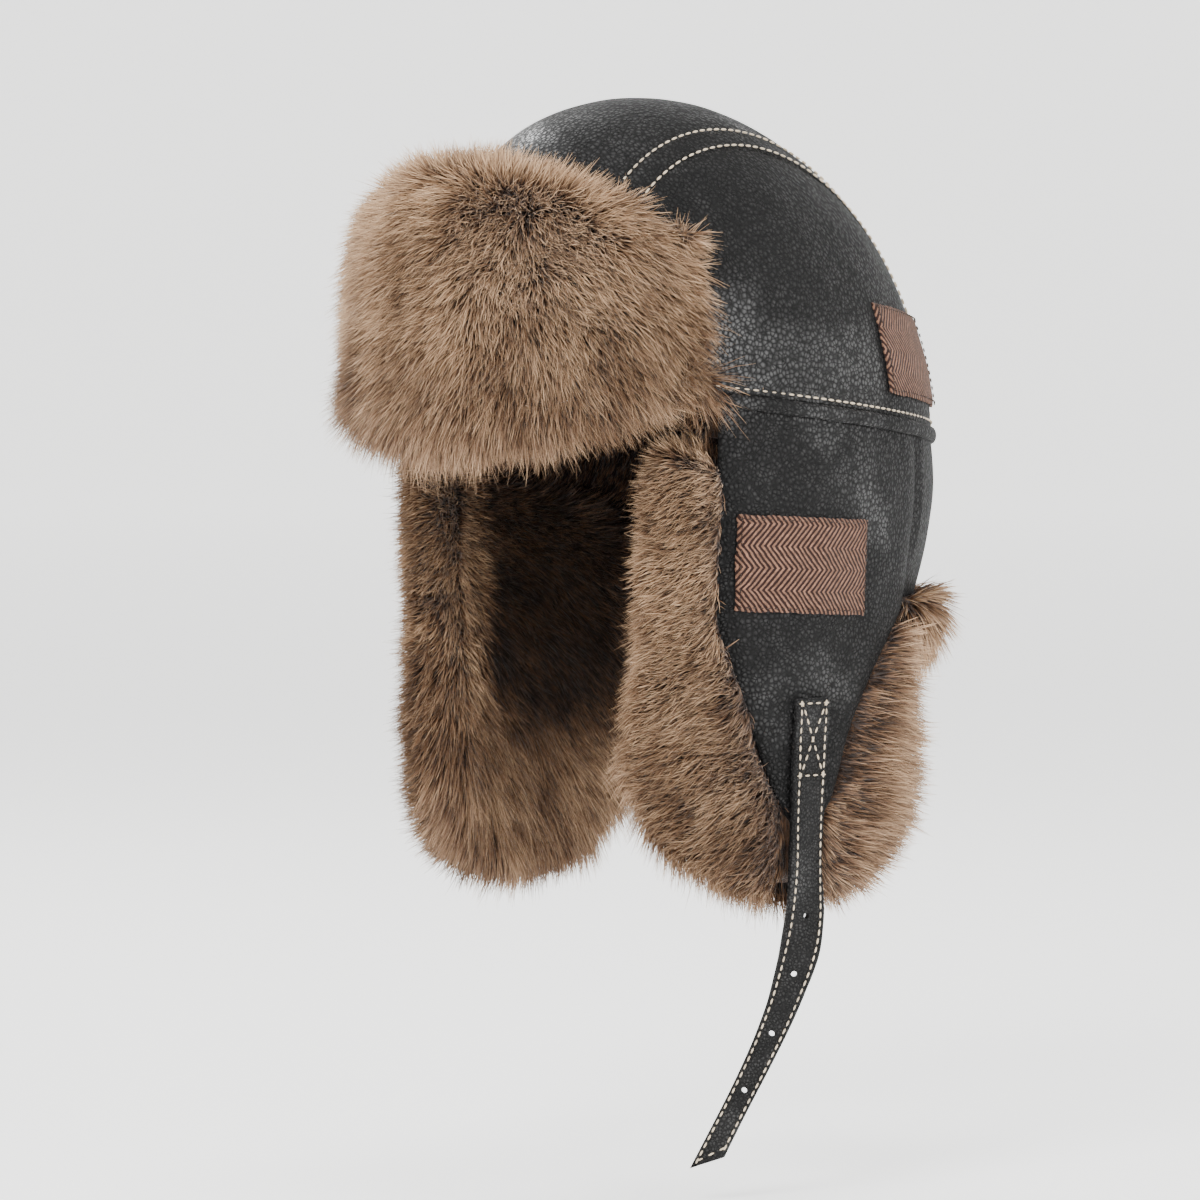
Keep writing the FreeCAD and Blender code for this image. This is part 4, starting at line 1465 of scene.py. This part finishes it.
def punch(obj, centre, face, radius):
    """Cut a round hole through a piece along its face direction."""
    mesh = bpy.data.meshes.new("punch")
    work = bmesh.new()
    bmesh.ops.create_cone(work, cap_ends=True, segments=24, radius1=radius, radius2=radius, depth=0.02)
    work.to_mesh(mesh)
    work.free()
    cutter = new_object("punch", mesh)
    cutter.matrix_world = Matrix.Translation(centre) @ face.to_track_quat("Z", "Y").to_matrix().to_4x4()
    bpy.context.view_layer.update()
    cut = obj.modifiers.new("Hole", "BOOLEAN")
    cut.operation = "DIFFERENCE"
    cut.solver = "EXACT"
    cut.object = cutter
    bake_modifiers(obj)
    bpy.data.objects.remove(cutter)


def strap_stitching():
    """Two rows along the strap's edges, one across its end, and the box and cross where it is sewn."""
    centres, widths, faces = strap_route()
    up = STRAP_THICK / 2 + 0.00028
    edge = STRAP_WIDTH / 2 - 0.0021

    def line(indices, offsets):
        """A row of thread through the route's points, each moved sideways by its own offset."""
        points = [centres[i] + widths[i] * offset + faces[i] * up for i, offset in zip(indices, offsets)]
        return np.array([tuple(p) for p in points]), np.array([tuple(faces[i]) for i in indices])

    def sides(indices):
        return [line(indices, [sign * edge] * len(indices)) for sign in (-1, 1)]

    def sew(name, rows, body, node):
        paths, outs = zip(*rows)
        obj = stitch_rows(name, paths, outs, *STRAP_STITCH)
        complete(obj, body, material("thread"), [node])

    tail = list(range(SEWN_ROWS, len(centres) - 3))
    end = line([tail[-1]] * 7, edge * np.linspace(-0.8, 0.8, 7))
    sew("strap_tail_thread", [*sides(tail), end], "chin_strap", "tail_edge_stitching")

    box_rows = list(range(1, BOX_ROWS))
    sewn = sides(box_rows + list(range(BOX_ROWS - 1, SEWN_ROWS)))
    sewn += [line([i] * 8, edge * np.linspace(-1, 1, 8)) for i in (box_rows[0], box_rows[-1])]
    for direction in (-1, 1):
        points, out = line(box_rows, edge * 0.94 * direction * np.linspace(-1, 1, len(box_rows)))
        sewn.append((points + out * 0.0001, out))
    sew("strap_box_thread", sewn, "left_flap", "strap_box_stitching")


# ---- Buckle side -------------------------------------------------------------------------------


def buckle_side():
    """The metal and the leather tab keep their exact shapes and get their finishes here."""
    finishes = {
        "buckle_frame": "metal", "buckle_bar": "metal", "buckle_prong": "metal",
        "buckle_tab": "strap", "buckle_tab_sewn_end": "strap", "keeper_loop": "strap",
        "tab_stitching": "thread", "sweatband": "sweatband",
    }
    for node, name in finishes.items():
        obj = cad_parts[node]
        if not obj.material_slots:
            obj.data.materials.append(None)
        for slot_index in range(len(obj.material_slots)):
            obj.material_slots[slot_index].material = material(name)


# ---- Stage -------------------------------------------------------------------------------------


FLOOR_GAP = 0.012
CAMERA_LENS = 200
CAMERA_DISTANCE = 2.667
CAMERA_AZIMUTH, CAMERA_ELEVATION = math.radians(45), math.radians(3)
LAMPS = (
    ("key", (0.55, -1.5, 1.15), 0.7, 34),
    ("fill", (1.7, -0.1, 0.35), 0.8, 10),
    ("rim", (-1.2, 0.5, 1.2), 0.6, 16),
    ("top", (0.15, -0.1, 1.6), 0.6, 15),
)


def stage():
    """A pale floor that curves up all round, soft lamps and the camera."""
    floor_z = CAD_BOX[0][2] - FLOOR_GAP
    turn = np.linspace(0, math.pi / 2, 13)
    reach = np.concatenate([[0.001, 3.0], 7.0 + 2.0 * np.sin(turn), [9.0]])[:, None]
    rise = np.concatenate([[0.0, 0.0], 2.0 - 2.0 * np.cos(turn), [7.0]])[:, None]
    around = np.linspace(0, 2 * math.pi, 64, endpoint=False)[None, :]
    points = np.stack([reach * np.cos(around), reach * np.sin(around), floor_z + rise + 0 * around], axis=-1)
    floor = grid_object("studio_floor", points, around=True)
    clean(floor, 0.002)
    if floor.data.polygons[0].normal.z < 0:
        floor.data.flip_normals()
    shade_smooth(floor)
    pale, _, shader = start_material("pale_paper", Roughness=0.9, Emission_Strength=1.0)
    shader.inputs["Base Color"].default_value = (0.88, 0.88, 0.87, 1)
    shader.inputs["Emission Color"].default_value = (1.0, 1.0, 1.0, 1)
    floor.data.materials.append(pale)

    world = bpy.data.worlds.new("studio")
    bpy.context.scene.world = world
    world.use_nodes = True
    sky = world.node_tree.nodes["Background"]
    sky.inputs["Color"].default_value = (1.0, 1.0, 1.0, 1)
    sky.inputs["Strength"].default_value = 0.32

    for settings in LAMPS:
        lamp(*settings)

    view = bpy.data.cameras.new("camera")
    camera = bpy.data.objects.new("camera", view)
    bpy.context.scene.collection.objects.link(camera)
    view.lens = CAMERA_LENS
    target = Vector((-0.0212, -0.0212, -0.078))
    level = math.cos(CAMERA_ELEVATION)
    heading = Vector((
        math.sin(CAMERA_AZIMUTH) * level, -math.cos(CAMERA_AZIMUTH) * level, math.sin(CAMERA_ELEVATION),
    ))
    camera.location = target + heading * CAMERA_DISTANCE
    camera.rotation_euler = (-heading).to_track_quat("-Z", "Y").to_euler()
    bpy.context.scene.camera = camera


def lamp(name, place, size, power):
    light = bpy.data.lights.new(name, "AREA")
    light.size = size
    light.energy = power
    obj = bpy.data.objects.new(name, light)
    bpy.context.scene.collection.objects.link(obj)
    obj.location = place
    obj.rotation_euler = (Vector((0, 0, -0.05)) - Vector(place)).to_track_quat("-Z", "Y").to_euler()


# ---- Operators ---------------------------------------------------------------------------------


class HatOperator(bpy.types.Operator):
    bl_options = {"REGISTER", "UNDO"}


class HAT_OT_stage(HatOperator):
    """Set up the pale floor, the soft lamps and the camera"""
    bl_idname = "hat.stage"
    bl_label = "Stage"

    def execute(self, context):
        stage()
        return {"FINISHED"}


class HAT_OT_crown(HatOperator):
    """Make the crown's leather panels, its seam strips and the rolled lip of the hatband"""
    bl_idname = "hat.crown"
    bl_label = "Crown Leather"

    def execute(self, context):
        centre_panel()
        for side, sign in SIDES:
            side_panel(side + "_side_panel", "crown_side_panel_" + side, sign)
        for side, sign in SIDES:
            seam_strip(side + "_seam_cover", "seam_strip_" + side, sign)
        hatband_lip()
        return {"FINISHED"}


class HAT_OT_crown_stitches(HatOperator):
    """Sew the crown seams and the hatband"""
    bl_idname = "hat.crown_stitches"
    bl_label = "Crown Stitches"

    def execute(self, context):
        for side, sign in SIDES:
            seam_stitching(side + "_seam_thread", "seam_stitching_" + side, sign)
        hatband_stitching()
        return {"FINISHED"}


class HAT_OT_lining(HatOperator):
    """Quilt the crown's lining over its wadding"""
    bl_idname = "hat.lining"
    bl_label = "Crown Lining"

    def execute(self, context):
        crown_lining()
        return {"FINISHED"}


class HAT_OT_flaps(HatOperator):
    """Cut the leather of the ear flaps and of the neck curtain"""
    bl_idname = "hat.flaps"
    bl_label = "Flap Leather"

    def execute(self, context):
        neck_curtain()
        flap_leather()
        return {"FINISHED"}


class HAT_OT_patches(HatOperator):
    """Sew on the two tweed patches"""
    bl_idname = "hat.patches"
    bl_label = "Tweed Patches"

    def execute(self, context):
        for name, place, size, body, patch, thread in PATCHES:
            patch_object(name, place, *size, body, [patch])
            patch_fringe(name + "_thread", place, *size, body, [thread])
        return {"FINISHED"}


class HAT_OT_strap(HatOperator):
    """Make the chin strap with its punched holes and its rows of thread"""
    bl_idname = "hat.strap"
    bl_label = "Chin Strap"

    def execute(self, context):
        chin_strap()
        strap_stitching()
        return {"FINISHED"}


class HAT_OT_buckle(HatOperator):
    """Finish the buckle, its tab and keeper, and the sweatband"""
    bl_idname = "hat.buckle"
    bl_label = "Buckle"

    def execute(self, context):
        buckle_side()
        return {"FINISHED"}


class HAT_OT_visor(HatOperator):
    """Make the visor's leather backing and its fur"""
    bl_idname = "hat.visor"
    bl_label = "Visor"

    def execute(self, context):
        visor_leather()
        visor_fur()
        return {"FINISHED"}


class HAT_OT_fur(HatOperator):
    """Line the ear flaps and the nape with fur"""
    bl_idname = "hat.fur"
    bl_label = "Flap and Nape Fur"

    def execute(self, context):
        flap_fur("left", 1, 23, STRAP_WIDTH / 2 + 0.0012)
        flap_fur("right", -1, 29, 0.0138)
        nape_fur()
        return {"FINISHED"}


STEPS = (
    HAT_OT_stage, HAT_OT_crown, HAT_OT_crown_stitches, HAT_OT_lining, HAT_OT_flaps, HAT_OT_patches,
    HAT_OT_strap, HAT_OT_buckle, HAT_OT_visor, HAT_OT_fur,
)


class HAT_PT_panel(bpy.types.Panel):
    bl_idname = "HAT_PT_panel"
    bl_label = "Trapper Hat"
    bl_space_type = "VIEW_3D"
    bl_region_type = "UI"
    bl_category = "Trapper Hat"

    def draw(self, context):
        layout = self.layout
        for group in (context.scene.hat_shape, context.scene.hat_finish):
            for name in group.bl_rna.properties.keys():
                if name not in {"rna_type", "name"}:
                    layout.prop(group, name)
        for step in STEPS:
            layout.operator(step.bl_idname)


CLASSES = (HatShape, HatFinish, *STEPS, HAT_PT_panel)


def register():
    for cls in CLASSES:
        bpy.utils.register_class(cls)
    bpy.types.Scene.hat_shape = bpy.props.PointerProperty(type=HatShape)
    bpy.types.Scene.hat_finish = bpy.props.PointerProperty(type=HatFinish)


def unregister():
    del bpy.types.Scene.hat_finish
    del bpy.types.Scene.hat_shape
    for cls in reversed(CLASSES):
        bpy.utils.unregister_class(cls)


def main():
    register()
    for step in STEPS:
        group, name = step.bl_idname.split(".")
        getattr(getattr(bpy.ops, group), name)()


if __name__ == "__main__":
    main()
